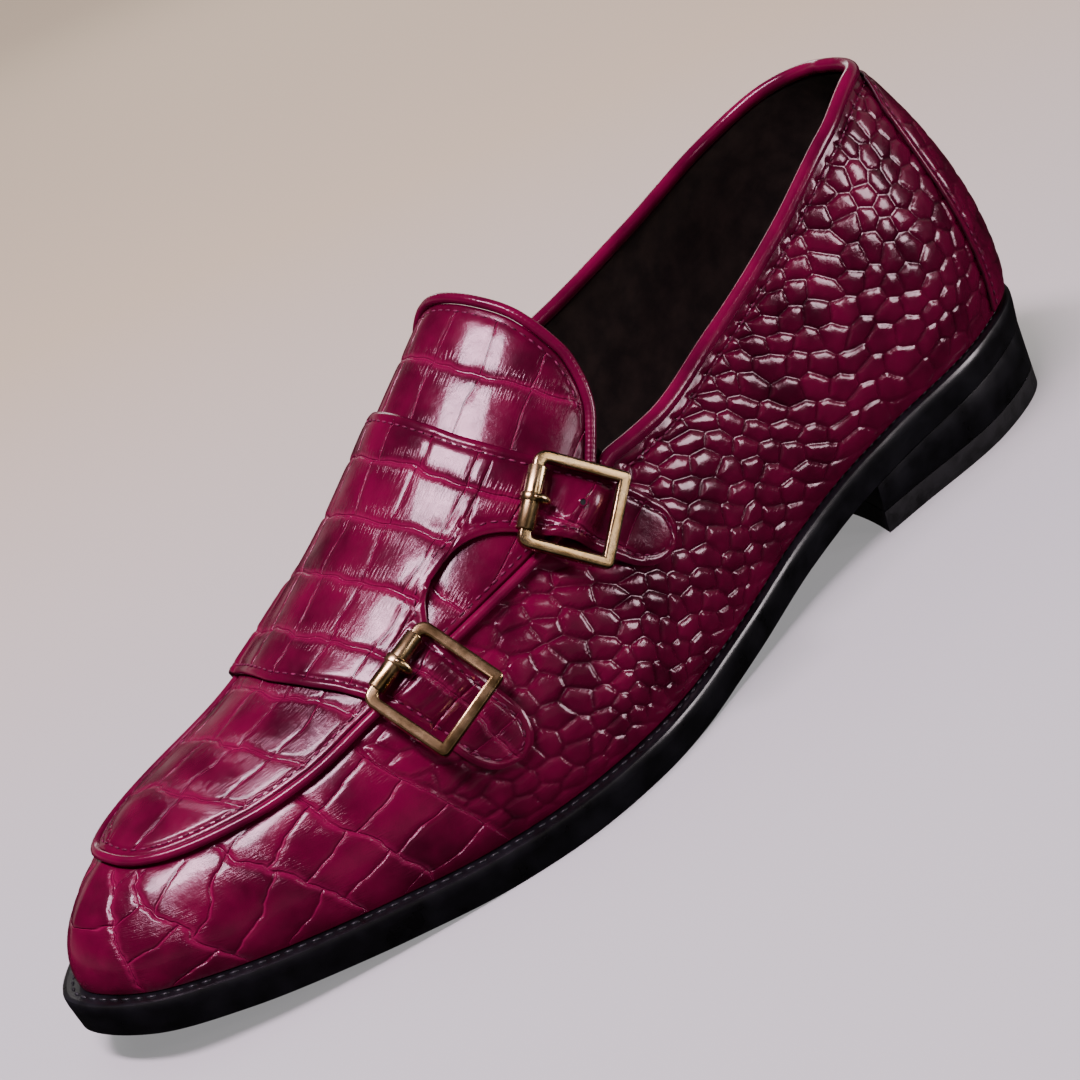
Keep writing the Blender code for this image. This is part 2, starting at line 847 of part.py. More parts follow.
def buckle_place(tau, w, height, tau_step, w_step, roll, pitch):
    """Where a buckle lies: x along the strap to the far bar, y across it, z out of it."""
    middle = skin(tau, w, height)
    along = skin(tau + tau_step / 2, w + w_step / 2) - skin(tau - tau_step / 2, w - w_step / 2)
    out = skin(tau, w, 1.0) - skin(tau, w)
    along -= out * np.dot(along, out)
    along /= np.linalg.norm(along)
    across = turned(np.cross(out, along), along, roll)
    along = turned(along, across, -pitch)
    place = Matrix([along, across, np.cross(along, across)]).transposed().to_4x4()
    place.translation = to_scene(middle)
    return place


def make_buckle(name, place, material):
    """Square wire frame with a sleeve on the bar towards the instep, drawn flat and put in place."""
    half = BUCKLE_SIDE / 2 - BUCKLE_WIRE_RADIUS
    straight = half - BUCKLE_CORNER_RADIUS
    points = []
    thickness = []
    for corner in range(4):
        turn = math.pi / 2 * corner
        for step in range(CORNER_STEPS + 1):
            angle = turn + math.pi / 2 * step / CORNER_STEPS
            x = straight * (1 if corner in (0, 3) else -1) + BUCKLE_CORNER_RADIUS * math.cos(angle)
            y = straight * (1 if corner in (0, 1) else -1) + BUCKLE_CORNER_RADIUS * math.sin(angle)
            points.append((x, y, 0.0))
            thickness.append(1.0)
        if corner == 1:
            for y, thick in sleeve_steps():
                points.append((-half, y, 0.0))
                thickness.append(thick)
    frame = cord(name, np.array(points) * MM, BUCKLE_WIRE_RADIUS, material, closed=True)
    for point, thick in zip(frame.data.splines[0].points, thickness):
        point.radius = thick
    frame.matrix_world = place
    return frame


def sleeve_steps():
    """The sleeve along its bar: place across the strap and thickness as a multiple of the wire."""
    end = SLEEVE_LENGTH / 2
    thick = SLEEVE_RADIUS / BUCKLE_WIRE_RADIUS
    return ((end + SLEEVE_END, 1.0), (end, thick), (-end, thick), (-end - SLEEVE_END, 1.0))


def make_prong(name, place, material):
    """Pin that hooks over the sleeve at the middle of its bar and dips into the strap."""
    bar = BUCKLE_SIDE / 2 - BUCKLE_WIRE_RADIUS
    reach = SLEEVE_RADIUS + GAP + PRONG_RADIUS
    angles = np.radians(np.linspace(*PRONG_TURN, PRONG_STEPS))
    points = [(reach * math.cos(a) - bar, 0.0, reach * math.sin(a)) for a in angles]
    pin = cord(name, np.array(points) * MM, PRONG_RADIUS, material)
    pin.matrix_world = place
    return pin


# ---------------------------------------------------------------- assembly
def clear_scene():
    for item in list(bpy.data.objects):
        bpy.data.objects.remove(item, do_unlink=True)


def main():
    clear_scene()
    black_leather = finish("black_leather", (0.012, 0.011, 0.012), 0.3)
    rubber = finish("black_rubber", (0.01, 0.01, 0.01), 0.6)
    burgundy = finish("burgundy_leather", (0.25, 0.005, 0.075), 0.25)
    dark = finish("dark_leather", (0.06, 0.01, 0.02), 0.4)
    suede = finish("brown_lining", (0.05, 0.035, 0.03), 0.9)
    brass = finish("aged_brass", (0.55, 0.36, 0.13), 0.25, 1.0)
    make_outsole(black_leather)
    make_welt(black_leather)
    make_heel(black_leather, rubber)
    make_insole(suede)
    make_upper(burgundy)
    make_apron(burgundy)
    make_saddle(burgundy)
    make_backstay(burgundy)
    make_back_strip(dark)
    make_collar_binding(burgundy)
    make_apron_piping(burgundy)
    make_tongue_binding(burgundy)
    for suffix, *place in BUCKLES:
        spot = buckle_place(*place)
        make_buckle("buckle_" + suffix, spot, brass)
        make_prong("prong_" + suffix, spot, brass)


main()
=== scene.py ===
# %% [markdown]
# # A left double monk strap loafer
#
# The real shoe starts from a **last**, the foot-shaped form that the leather is pulled over.
# This lesson does the same: it first rebuilds the last as a function that gives a point of the
# surface for two shares, and then lays every piece of leather on it, with its embossed scales,
# its seams and its stitches. The plain solids of the shoe are already here as a fixed frame, so
# each new piece goes exactly where its solid is and stands for it.

# %% The frame
import math

import bmesh
import bpy
import numpy as np
from mathutils import Matrix, Vector


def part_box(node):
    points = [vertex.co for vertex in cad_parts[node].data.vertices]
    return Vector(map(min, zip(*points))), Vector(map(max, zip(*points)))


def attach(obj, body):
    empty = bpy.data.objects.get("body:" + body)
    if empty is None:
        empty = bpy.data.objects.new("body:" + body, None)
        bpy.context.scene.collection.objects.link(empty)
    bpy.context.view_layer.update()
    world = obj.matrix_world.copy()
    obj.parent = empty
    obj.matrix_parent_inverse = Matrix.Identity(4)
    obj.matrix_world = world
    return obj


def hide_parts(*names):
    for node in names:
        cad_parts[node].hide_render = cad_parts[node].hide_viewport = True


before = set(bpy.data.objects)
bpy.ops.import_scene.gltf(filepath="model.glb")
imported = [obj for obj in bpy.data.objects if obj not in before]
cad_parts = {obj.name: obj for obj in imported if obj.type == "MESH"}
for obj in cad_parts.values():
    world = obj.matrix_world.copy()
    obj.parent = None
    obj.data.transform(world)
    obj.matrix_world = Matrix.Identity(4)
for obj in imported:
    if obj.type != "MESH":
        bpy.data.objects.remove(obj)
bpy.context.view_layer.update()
MM = 0.001

# %% [markdown]
# ## Curves from short tables
#
# A pattern cutter notes a curve as a few heights along the shoe. `curve` runs a smooth line
# through such a table without overshooting between its rows, which a plain spline would do.

# %% Monotone curves
def curve(at, knots, values):
    """Monotone cubic curve through (knots, values), read at every entry of at."""
    at = np.clip(np.asarray(at, float), knots[0], knots[-1])
    step = np.diff(knots)
    slope = np.diff(values) / step
    same = slope[:-1] * slope[1:] > 0
    inner = 2 * slope[:-1] * slope[1:] / np.where(same, slope[:-1] + slope[1:], 1.0)
    tangent = np.concatenate([slope[:1], np.where(same, inner, 0.0), slope[-1:]])
    cell = np.clip(np.searchsorted(knots, at, side="right") - 1, 0, len(step) - 1)
    t = (at - knots[cell]) / step[cell]
    rise = tangent[cell] * step[cell] * t * (1 - t) ** 2 - tangent[cell + 1] * step[cell] * t**2 * (1 - t)
    return values[cell] * (1 + 2 * t) * (1 - t) ** 2 + values[cell + 1] * t**2 * (3 - 2 * t) + rise


def column(table, number, at):
    return curve(at, table[:, 0], table[:, number])


def smooth(at, low, high):
    """0 below low, 1 above high, and a soft step between them."""
    t = np.clip((np.asarray(at, float) - low) / (high - low), 0.0, 1.0)
    return t * t * (3 - 2 * t)


print("a soft step from 0 to 1:", smooth([0, 0.25, 0.5, 1], 0, 1))

# %% [markdown]
# ## The last
#
# These tables are the shoe's own measurements in millimetres: the edge of the sole, the arch
# under it, the ridge over the instep, and how far each side bulges. `tau` runs along the sole
# edge from the heel (0) to the toe (1), and `w` runs round each section from the inner sole edge
# (-1) over the ridge (0) to the outer sole edge (+1).

# %% Tables of the last
EDGE = np.array([  # x, y of the outer edge, y of the inner edge
    (7.0, 18.8, -17.7), (32.0, 29.9, -31.1), (70.0, 31.4, -29.9), (105.0, 33.0, -28.5), (140.0, 40.6, -33.8),
    (172.0, 48.2, -42.8), (198.0, 48.9, -47.6), (222.0, 43.6, -48.4), (250.0, 34.8, -45.0),
    (275.0, 24.8, -34.8), (292.0, 13.2, -20.2),
])
HEEL_TIP = (0.0, 1.0)
TOE_TIP = (299.6, -5.4)
UNDERSIDE = np.array([  # x, height of the tread
    (-10.0, 20.2), (40.0, 17.4), (78.0, 13.7), (105.0, 8.4), (132.0, 3.2), (158.0, 0.3), (178.0, 0.0),
    (214.0, 0.0), (240.0, 1.9), (268.0, 5.1), (300.0, 9.8),
])
MARGIN = np.array([(0.0, 2.4), (0.2, 2.2), (0.42, 2.2), (0.6, 4.0), (1.0, 4.2)])  # tau, welt that shows
RIDGE = np.array([  # x, y, z
    (70.0, 1.0, 141.5), (100.0, 2.8, 128.5), (135.0, 0.4, 111.0), (165.0, -1.3, 90.4), (200.0, -1.0, 65.6),
    (232.0, 1.0, 50.3), (266.0, -8.6, 41.6),
])
SECTIONS = np.array([  # tau, height of the bulge, bulge of the outer and inner side, reach of the ridge
    (0.00, 0.35, 8.9, 8.9, 0.24), (0.10, 0.41, 7.5, 6.4, 0.52), (0.25, 0.45, 6.1, 4.8, 0.71),
    (0.42, 0.48, 5.0, 4.1, 0.80), (0.55, 0.46, 4.1, 3.3, 0.70), (0.70, 0.46, 3.3, 2.1, 0.59),
    (0.85, 0.50, 2.2, 1.2, 0.57), (1.00, 0.57, 1.0, 1.0, 0.59),
])
SOLE_THICKNESS = 8.3
GAP = 0.3
print("length of the sole:", TOE_TIP[0] - HEEL_TIP[0], "mm")

# %% [markdown]
# ### The sole's edge
#
# The edge is one closed loop through its table, measured off in even steps along each side, so
# that `tau` is a true share of the way from heel to toe.

# %% The sole edge
def travelled(path):
    """Distance walked along a path when each of its points is reached."""
    return np.concatenate([[0.0], np.cumsum(np.linalg.norm(np.diff(path, axis=0), axis=1))])


def closed_spline(points, steps=60):
    """Centripetal Catmull-Rom loop through the points."""
    found = []
    for i in range(len(points)):
        p = [points[(i + k - 1) % len(points)] for k in range(4)]
        t = [0.0]
        for k in range(3):
            t.append(t[-1] + math.sqrt(math.dist(p[k], p[k + 1])))
        for at in np.linspace(t[1], t[2], steps, endpoint=False):
            a = [(p[k] * (t[k + 1] - at) + p[k + 1] * (at - t[k])) / (t[k + 1] - t[k]) for k in range(3)]
            b = [(a[k] * (t[k + 2] - at) + a[k + 1] * (at - t[k])) / (t[k + 2] - t[k]) for k in range(2)]
            found.append((b[0] * (t[2] - at) + b[1] * (at - t[1])) / (t[2] - t[1]))
    return np.array(found)


def edge_sides():
    """Outer and inner edge of the sole, each as x, y, nx, ny at even steps of tau."""
    outer = [(x, y) for x, y, _ in EDGE]
    inner = [(x, y) for x, _, y in EDGE[::-1]]
    loop = closed_spline(np.array([HEEL_TIP, *outer, TOE_TIP, *inner]))
    ahead = np.roll(loop, -1, axis=0) - np.roll(loop, 1, axis=0)
    normal = np.stack([-ahead[:, 1], ahead[:, 0]], 1)
    normal /= np.linalg.norm(normal, axis=1)[:, None]
    rows = np.hstack([loop, normal])
    tip = len(loop) // 2
    sides = []
    for run in (rows[: tip + 1], np.vstack([rows[tip:], rows[:1]])[::-1]):
        way = travelled(run[:, :2])
        even = np.linspace(0.0, way[-1], 801)
        sides.append(np.stack([np.interp(even, way, c) for c in run.T], 1))
        print("sole edge, one side:", round(way[-1], 1), "mm")
    return sides


OUTER_EDGE, INNER_EDGE = edge_sides()
EVEN = np.linspace(0.0, 1.0, len(OUTER_EDGE))


def edge(tau, outer, inset):
    """Point of the sole edge at tau, moved inwards, with the outward direction."""
    x, y, nx, ny = [
        np.where(outer, np.interp(tau, EVEN, a), np.interp(tau, EVEN, b))
        for a, b in zip(OUTER_EDGE.T, INNER_EDGE.T)
    ]
    size = np.hypot(nx, ny)
    return x - nx / size * inset, y - ny / size * inset, nx / size, ny / size


def underside(x):
    return curve(x, UNDERSIDE[:, 0], UNDERSIDE[:, 1])


# %% [markdown]
# ### The surface of the last
#
# Each rib of the last is one cubic Bezier curve from the sole edge up to the ridge. `skin` then
# gives a point at any height above the leather's own surface, which is all that a piece laid on
# the last needs: where it lies, and how high.

# %% The surface of the last
STEP = 0.004
RIDGE_BLEND = 0.04


def last(tau, w):
    """The last's surface at (tau, w), in millimetres."""
    tau, w = np.broadcast_arrays(np.asarray(tau, float), np.asarray(w, float))
    outer = w >= 0
    v = 1 - np.abs(w)
    x0, y0, nx, ny = edge(tau, outer, column(MARGIN, 1, tau))
    z0 = underside(x0) + SOLE_THICKNESS + GAP
    ridge_x = RIDGE[0, 0] + (RIDGE[-1, 0] - RIDGE[0, 0]) * (0.5 - 0.5 * np.cos(np.pi * tau))
    ridge_y = column(RIDGE, 1, ridge_x)
    ridge_z = column(RIDGE, 2, ridge_x)
    rise = column(RIDGE, 2, ridge_x + 1) - column(RIDGE, 2, ridge_x - 1)
    run = np.clip(ridge_x + 1, None, RIDGE[-1, 0]) - np.clip(ridge_x - 1, RIDGE[0, 0], None)
    bulge = np.where(outer, column(SECTIONS, 2, tau), column(SECTIONS, 3, tau))
    reach = column(SECTIONS, 4, tau)
    low = (x0 + nx * bulge, y0 + ny * bulge, z0 + column(SECTIONS, 1, tau) * (ridge_z - z0))
    high_x = ridge_x + (2 * tau - 1) ** 2 * reach * (x0 - ridge_x)
    high = (high_x, ridge_y + reach * (y0 - ridge_y), ridge_z + rise / run * (high_x - ridge_x))
    share = ((1 - v) ** 3, 3 * v * (1 - v) ** 2, 3 * v**2 * (1 - v), v**3)
    corners = ((x0, y0, z0), low, high, (ridge_x, ridge_y, ridge_z))
    return np.stack([sum(s * c[k] for s, c in zip(share, corners)) for k in range(3)], -1)


def past_tip(tau, w):
    """The last, continued past either tip onto the other side of the shoe."""
    other = (tau < 0) | (tau > 1)
    return last(np.where(tau > 1, 2 - tau, np.abs(tau)), np.where(other, -w, w))


def side_normal(tau, w):
    low = np.where(w > 0, np.maximum(w - STEP, STEP), np.maximum(w - STEP, -1.0))
    high = np.where(w > 0, np.minimum(w + STEP, 1.0), np.minimum(w + STEP, -STEP))
    normal = np.cross(past_tip(tau + STEP, w) - past_tip(tau - STEP, w), last(tau, high) - last(tau, low))
    return normal / np.linalg.norm(normal, axis=-1)[..., None]


def outward(tau, w):
    """Outward direction of the last, blended over the ridge."""
    share = np.clip(0.5 + 0.5 * w / RIDGE_BLEND, 0.0, 1.0)[..., None]
    normal = side_normal(tau, np.maximum(w, RIDGE_BLEND)) * share
    normal = normal + side_normal(tau, np.minimum(w, -RIDGE_BLEND)) * (1 - share)
    return normal / np.linalg.norm(normal, axis=-1)[..., None]


def skin(tau, w, height=0.0):
    """Point at a height above the last, along its outward direction."""
    tau, w, height = np.broadcast_arrays(*(np.asarray(a, float) for a in (tau, w, height)))
    return last(tau, w) + outward(tau, w) * height[..., None]


print("toe's end of the ridge in mm:", np.round(last(1.0, 0.0), 1))

# %% [markdown]
# ### The rim
#
# The rim is where the upper ends: the topline behind the throat, and the seam of the apron in
# front of it. Its table holds heights, because that is what a shoemaker measures; the share `w`
# at which each rib comes up to that height is looked up along the rib. The two sides would meet
# in a small notch at the tip of the toe, and `TIP_FILL` holds the shares that round it off.

# %% The rim of the upper
TOPLINE = np.array([  # tau, height of the outer and of the inner side
    (0.00, 98.0, 98.0), (0.08, 97.8, 94.6), (0.16, 91.8, 88.0), (0.25, 79.8, 81.9), (0.34, 69.2, 76.6),
    (0.42, 62.8, 72.4), (0.48, 62.2, 69.6),
])
SEAM = np.array([  # tau, height of the outer and of the inner side
    (0.46, 62.4, 70.0), (0.52, 57.0, 64.6), (0.58, 52.4, 58.4), (0.64, 47.8, 52.6), (0.70, 43.3, 47.2),
    (0.76, 39.4, 43.2), (0.82, 37.5, 40.2), (0.88, 37.1, 37.8), (0.94, 37.7, 37.5), (1.00, 38.7, 38.7),
])
TIP_FILL = np.array([  # tau, share of the outer and of the inner side
    (0.960, 0.0000, 0.0000), (0.970, 0.0017, 0.0000), (0.980, 0.0060, 0.0010), (0.985, 0.0086, 0.0045),
    (0.990, 0.0116, 0.0088), (0.996, 0.0159, 0.0148), (1.000, 0.0191, 0.0191),
])
THROAT = 0.4603


def look_up_rim(outer):
    """tau and |w| of the rim of one side, at even steps of tau."""
    number = 1 if outer else 2
    tau = np.linspace(0.0, 1.0, 601)
    height = np.where(tau < THROAT, column(TOPLINE, number, tau), column(SEAM, number, tau))
    shares = np.linspace(0.999, 0.02, 150)
    z = last(tau[:, None], (1.0 if outer else -1.0) * shares)[..., 2]
    z = np.maximum.accumulate(z, axis=-1)
    found = np.array([np.interp(h, row, shares) for h, row in zip(height, z)])
    return tau, found + column(TIP_FILL, number, tau)


RIM = {True: look_up_rim(True), False: look_up_rim(False)}


def rim(tau, outer):
    return np.interp(tau, *RIM[outer])


def rim_of(tau, outer):
    return np.where(outer, rim(tau, True), rim(tau, False))


def rim_speed(tau, outer):
    """Millimetres along a rib for each unit of w, at the rim."""
    top = rim(tau, outer) * (1.0 if outer else -1.0)
    return np.linalg.norm(last(tau, top + STEP) - last(tau, top - STEP), axis=-1) / (2 * STEP)


def past_rim(tau, w):
    """Millimetres from the rim down the rib, negative between the rim and the ridge."""
    outer = (w - rim(tau, True)) * rim_speed(tau, True)
    return np.where(w >= 0, outer, (-w - rim(tau, False)) * rim_speed(tau, False))


print("rim of the outer side at the heel, throat and toe:", np.round(rim(np.array([0, THROAT, 1]), True), 3))

# %% [markdown]
# ## Materials
#
# Every finish is built from a few nodes. Small helpers keep that short: one turns an sRGB hex
# colour into the linear values that Blender works in, and one adds a node with its settings and
# links.

# %% Colour and node helpers
def colour(code):
    """Linear RGBA from an sRGB hex code."""
    parts = [int(code[i : i + 2], 16) / 255 for i in (1, 3, 5)]
    return (*[c / 12.92 if c <= 0.04045 else ((c + 0.055) / 1.055) ** 2.4 for c in parts], 1.0)


def new_material(name):
    material = bpy.data.materials.new(name)
    material.use_nodes = True
    return material, material.node_tree.nodes["Principled BSDF"]


def fill_inputs(owner, node, inputs):
    """Gives each named input of a node its value or its link."""
    for key, value in inputs.items():
        if isinstance(value, bpy.types.NodeSocket):
            owner.node_tree.links.new(value, node.inputs[key])
        else:
            node.inputs[key].default_value = value


def add(owner, kind, inputs=None, **settings):
    """One node of a material or a world, with its settings and its inputs."""
    node = owner.node_tree.nodes.new("ShaderNode" + kind)
    for key, value in settings.items():
        setattr(node, key, value)
    fill_inputs(owner, node, inputs or {})
    return node


print("mid grey in linear values:", np.round(colour("#808080")[:3], 3))

# %% [markdown]
# ## The burgundy leather
#
# Calfskin, embossed under a hot plate with a reptile pattern and then finished with a glossy
# coat. The plate's own relief is real geometry on every panel; the material adds what is finer:
# the grain, the short creases along the edges of the tiles, a mottled aniline dye with painted
# shade in the grooves between the scales, lines that are paler than the tiles, partly in their own
# colour and partly as a painted highlight, and the polish of the coat. The panels carry four
# attributes for it: `row` and `lane` are the distances in millimetres to the nearest line of each
# kind, which change sign at the line so that it stays sharp between two vertices, `rim` fades in
# near a line, and `tone` differs from tile to tile and is lower along the scales' borders, as
# painted shade.

# %% Sizes of the leather's marks
GRAIN_MM = 0.35  # the pores of calf are about half as wide, and are drawn coarser so that they show
SLACK_MM = 2.6
CREASE_MM = 0.7
CREASE_STRETCH = 0.16
POLISH_MM = 3.0
MOTTLE_MM = 14.0
ROW_LINE_MM = 0.45
ROW_BAND_MM = 1.5
LANE_LINE_MM = 0.32
LINE_TINT = 0.42
UV_MM = 100.0
print("a pressed line is", 2 * ROW_LINE_MM, "mm wide across a row and", 2 * LANE_LINE_MM, "mm along a lane")

# %% [markdown]
# What the material starts from is of three kinds: the attributes of the panels, noises of the sizes
# above, and lines. An image could hold the lines, but it would have to be baked for every panel;
# a distance that is turned into a line stays sharp at any size.

# %% Marks, noises and lines
def leather_marks(material, place):
    """The panels' attributes, the noises, and lines that are 1 at their middle and fade out."""
    mark = {}
    for label in ("row", "lane", "rim", "tone"):
        mark[label] = add(material, "Attribute", attribute_name=label).outputs["Fac"]
    noise = {}
    for label, size, detail, rough in (
        ("mottle", MOTTLE_MM, 3.0, 0.55), ("polish", POLISH_MM, 4.0, 0.6),
        ("grain", GRAIN_MM, 2.0, 0.6), ("slack", SLACK_MM, 3.0, 0.6),
    ):
        found = add(material, "TexNoise", {"Vector": place.outputs["Object"], "Scale": 1 / (size * MM)})
        fill_inputs(material, found, {"Detail": detail, "Roughness": rough})
        noise[label] = found.outputs["Fac"]
    line = {}
    for label, gap, width in (
        ("row", "row", ROW_LINE_MM), ("band", "row", ROW_BAND_MM), ("lane", "lane", LANE_LINE_MM),
    ):
        apart = add(material, "Math", {0: mark[gap]}, operation="ABSOLUTE").outputs["Value"]
        line[label] = add(
            material, "MapRange",
            {"Value": apart, "From Min": 0.0, "From Max": width, "To Min": 1.0, "To Max": 0.0},
            interpolation_type="SMOOTHSTEP",
        ).outputs["Result"]
    return mark, noise, line


print("bands beside a row line:", ROW_BAND_MM, "mm")

# %% [markdown]
# The leather itself puts these together in three steps: its colour, with painted shade in the
# scales' grooves and partly painted highlight on the lines, and its polish; its short creases; and
# the bumps that ride on each other.

# %% Embossed calf
def make_leather(name, deep, bright, groove, creases=1.0):
    """Aniline-dyed calf under a thin gloss: painted shade in the scales' grooves, paler lines that are partly
    painted highlight, and a broad soft shine on top.
    """
    material, shader = new_material(name)
    place = add(material, "TexCoord")
    mark, noise, line = leather_marks(material, place)
    pressed_line = add(material, "Math", {0: line["row"], 1: line["lane"]}, operation="MAXIMUM")
    # The lines are paler: partly their own colour, partly a painted highlight of the light their edges catch.
    pale_highlit_line = add(material, "Math", {0: line["lane"], 1: line["band"]}, operation="MAXIMUM")
    tint = add(material, "Math", {0: pale_highlit_line.outputs["Value"], 1: LINE_TINT}, operation="MULTIPLY")

    # The colour: a mottled dye, another depth on every tile, painted shade along the scales' borders
    # (through `tone`), and paler along the lines, partly in their own colour and partly as a painted
    # highlight.
    depth = add(
        material, "MapRange",
        {"Value": noise["mottle"], "From Min": 0.34, "From Max": 0.66, "To Min": 0.25, "To Max": 0.85},
    )
    varied = add(material, "Math", {0: depth.outputs["Result"], 1: mark["tone"]}, operation="ADD")
    dyed = add(
        material, "Mix", {"Factor": varied.outputs["Value"], "A": colour(deep), "B": colour(bright)},
        data_type="RGBA",
    )
    lined = add(
        material, "Mix",
        {"Factor": tint.outputs["Value"], "A": dyed.outputs["Result"], "B": colour(groove)}, data_type="RGBA",
    )
    dull = add(
        material, "MapRange",
        {"Value": noise["polish"], "From Min": 0.3, "From Max": 0.7, "To Min": 0.16, "To Max": 0.27},
    )

    # Short creases lie across the tiles' edges: a noise that is stretched along the shoe.
    stretched = add(
        material, "Mapping", {"Vector": place.outputs["UV"], "Scale": (CREASE_STRETCH, 1.0, 1.0)},
    )
    crease = add(
        material, "TexNoise",
        {"Vector": stretched.outputs["Vector"], "Scale": UV_MM / CREASE_MM, "Detail": 2.0, "Roughness": 0.5},
    )
    cracked = add(
        material, "MapRange",
        {"Value": crease.outputs["Fac"], "From Min": 0.42, "From Max": 0.6, "To Min": 1.0, "To Max": 0.0},
    )
    near_line = add(
        material, "Math", {0: cracked.outputs["Result"], 1: mark["rim"]}, operation="MULTIPLY",
    )

    # Each bump rides on the one before: grain, slack skin, creases, and the pressed lines.
    bump = None
    for height, strength, deep_mm, sunk in (
        (noise["grain"], 0.10, 0.1, False), (noise["slack"], 0.35, 0.25, False),
        (near_line.outputs["Value"], 0.4 * creases, 0.2, False),
        (pressed_line.outputs["Value"], 1.0, 0.3, True),
    ):
        inputs = {"Height": height, "Strength": strength, "Distance": deep_mm * MM}
        if bump:
            inputs["Normal"] = bump.outputs["Normal"]
        bump = add(material, "Bump", inputs, invert=sunk)
    fill_inputs(material, shader, {
        "Base Color": lined.outputs["Result"], "Roughness": dull.outputs["Result"],
        "Normal": bump.outputs["Normal"], "Specular IOR Level": 0.18, "Specular Tint": colour("#ffccdf"),
        "Coat Weight": 0.15, "Coat Roughness": 0.09, "Coat IOR": 1.4,
    })
    return material


# Plate-embossed calf with a gloss: wine red that is almost black in shade and bright only on its shine.
# Its lines are a paler pink, partly their own colour and partly painted highlight.
embossed_calf = make_leather("embossed_calf_gloss", "#24010e", "#540226", "#7c0f40")
# Skived calf without the plate's pattern, for folded edges: the same dye, a little lighter and smoother.
plain_calf = make_leather("smooth_calf_binding", "#2e0115", "#5c032b", "#841247", creases=0.4)
print("leather:", embossed_calf.name, "with", len(embossed_calf.node_tree.nodes), "nodes")

# %% [markdown]
# ## The other finishes
#
# The sole is vegetable-tanned leather with a waxed black edge, the heel's last layer is rubber,
# the lining is napped goat, and the buckles are polished brass that has aged a little in its
# hollows. Each is one short material: two colours in soft spots, a roughness that wanders with
# them, and a fine bump.

# %% Black edge, rubber, lining, thread and brass
def make_plain(name, dark, light, spot_mm, rough, bump_mm, grain_mm, metallic=0.0, coat=0.0):
    """A finish with two mixed colours, a range of roughness and a fine bump."""
    material, shader = new_material(name)
    place = add(material, "TexCoord").outputs["Object"]
    spots = add(
        material, "TexNoise",
        {"Vector": place, "Scale": 1 / (spot_mm * MM), "Detail": 4.0, "Roughness": 0.6},
    )
    spread = spots.outputs["Fac"]
    mixed = add(
        material, "MapRange",
        {"Value": spread, "From Min": 0.35, "From Max": 0.68, "To Min": 0.0, "To Max": 1.0},
    )
    painted = add(
        material, "Mix", {"Factor": mixed.outputs["Result"], "A": colour(dark), "B": colour(light)},
        data_type="RGBA",
    )
    dull = add(
        material, "MapRange",
        {"Value": spread, "From Min": 0.3, "From Max": 0.7, "To Min": rough[0], "To Max": rough[1]},
    )
    grain = add(
        material, "TexNoise",
        {"Vector": place, "Scale": 1 / (grain_mm * MM), "Detail": 3.0, "Roughness": 0.65},
    )
    bump = add(material, "Bump", {"Height": grain.outputs["Fac"], "Strength": 0.5, "Distance": bump_mm * MM})
    fill_inputs(material, shader, {
        "Base Color": painted.outputs["Result"], "Roughness": dull.outputs["Result"],
        "Normal": bump.outputs["Normal"], "Metallic": metallic, "Coat Weight": coat, "Coat Roughness": 0.2,
    })
    if not metallic:
        fill_inputs(material, shader, {"Specular IOR Level": 0.25})
    return material


# Sole leather with an inked, waxed edge: nearly black, with a low broad sheen.
waxed_edge = make_plain("waxed_black_sole_edge", "#060607", "#0f0f13", 9.0, (0.25, 0.4), 0.05, 1.2, coat=0.1)
# Near-black, dull leather for the floor of the punched hole: painted shade for the hole's depth.
painted_hole_shade = make_plain("black_painted_hole_shade", "#08080a", "#131317", 5.0, (0.4, 0.6), 0.12, 0.9)
# Moulded rubber: charcoal, matt, with a faint pebble.
heel_rubber = make_plain("black_top_lift_rubber", "#0c0c0e", "#17171a", 3.0, (0.5, 0.75), 0.1, 0.6)
# Goat with its nap up: warm dark brown that throws no shine back.
napped_lining = make_plain("napped_goat_lining", "#18120e", "#2c231d", 6.0, (0.85, 1.0), 0.16, 0.5)
# Worn smooth leather under the foot: brown and nearly matt.
sock_leather = make_plain("brown_sock_leather", "#2a221e", "#372e28", 5.0, (0.6, 0.85), 0.12, 0.6)
# The cut side of dyed calf: the dye sinks in, so it is darker and drier than the face.
cut_edge = make_plain("dyed_cut_edge", "#21030f", "#45081f", 4.0, (0.4, 0.6), 0.06, 0.4)
# Smooth glossed calf over the back seam: darker than the quarters.
strip_leather = make_plain("dark_strip_leather", "#2a0412", "#4a0a24", 6.0, (0.25, 0.4), 0.06, 0.5, coat=0.3)
# Waxed linen thread, dyed to match: a shade lighter than the leather, with a dull sheen.
burgundy_thread = make_plain("burgundy_waxed_thread", "#3a041c", "#6a1640", 1.5, (0.45, 0.7), 0.05, 0.3)
# The same thread in black for the welt.
black_thread = make_plain("black_waxed_thread", "#101012", "#222226", 1.5, (0.35, 0.55), 0.05, 0.3)
# Cast and polished brass that has dulled with age: soft reflections in muted gold.
aged_brass = make_plain("aged_brass", "#846c46", "#a8906c", 5.0, (0.2, 0.3), 0.015, 0.8, metallic=1.0)
print("finishes:", len(bpy.data.materials))

# %% [markdown]
# ## From the last to the frame
#
# The solids' frame and the last's millimetres share a scale, so one shift joins them: the middle
# of the outsole is the same place in both.

# %% The shift to the frame
SIDE_LENGTH = 330.0
outsole_low, outsole_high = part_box("outsole")
both_edges = np.vstack([OUTER_EDGE, INNER_EDGE])[:, :2]
sole_middle = (both_edges.min(0) + both_edges.max(0)) / 2
ORIGIN = np.array([*(sole_middle - np.array((outsole_low + outsole_high)[:2]) / 2 / MM), 0.0])
print("origin of the frame in the last's millimetres:", np.round(ORIGIN, 2))

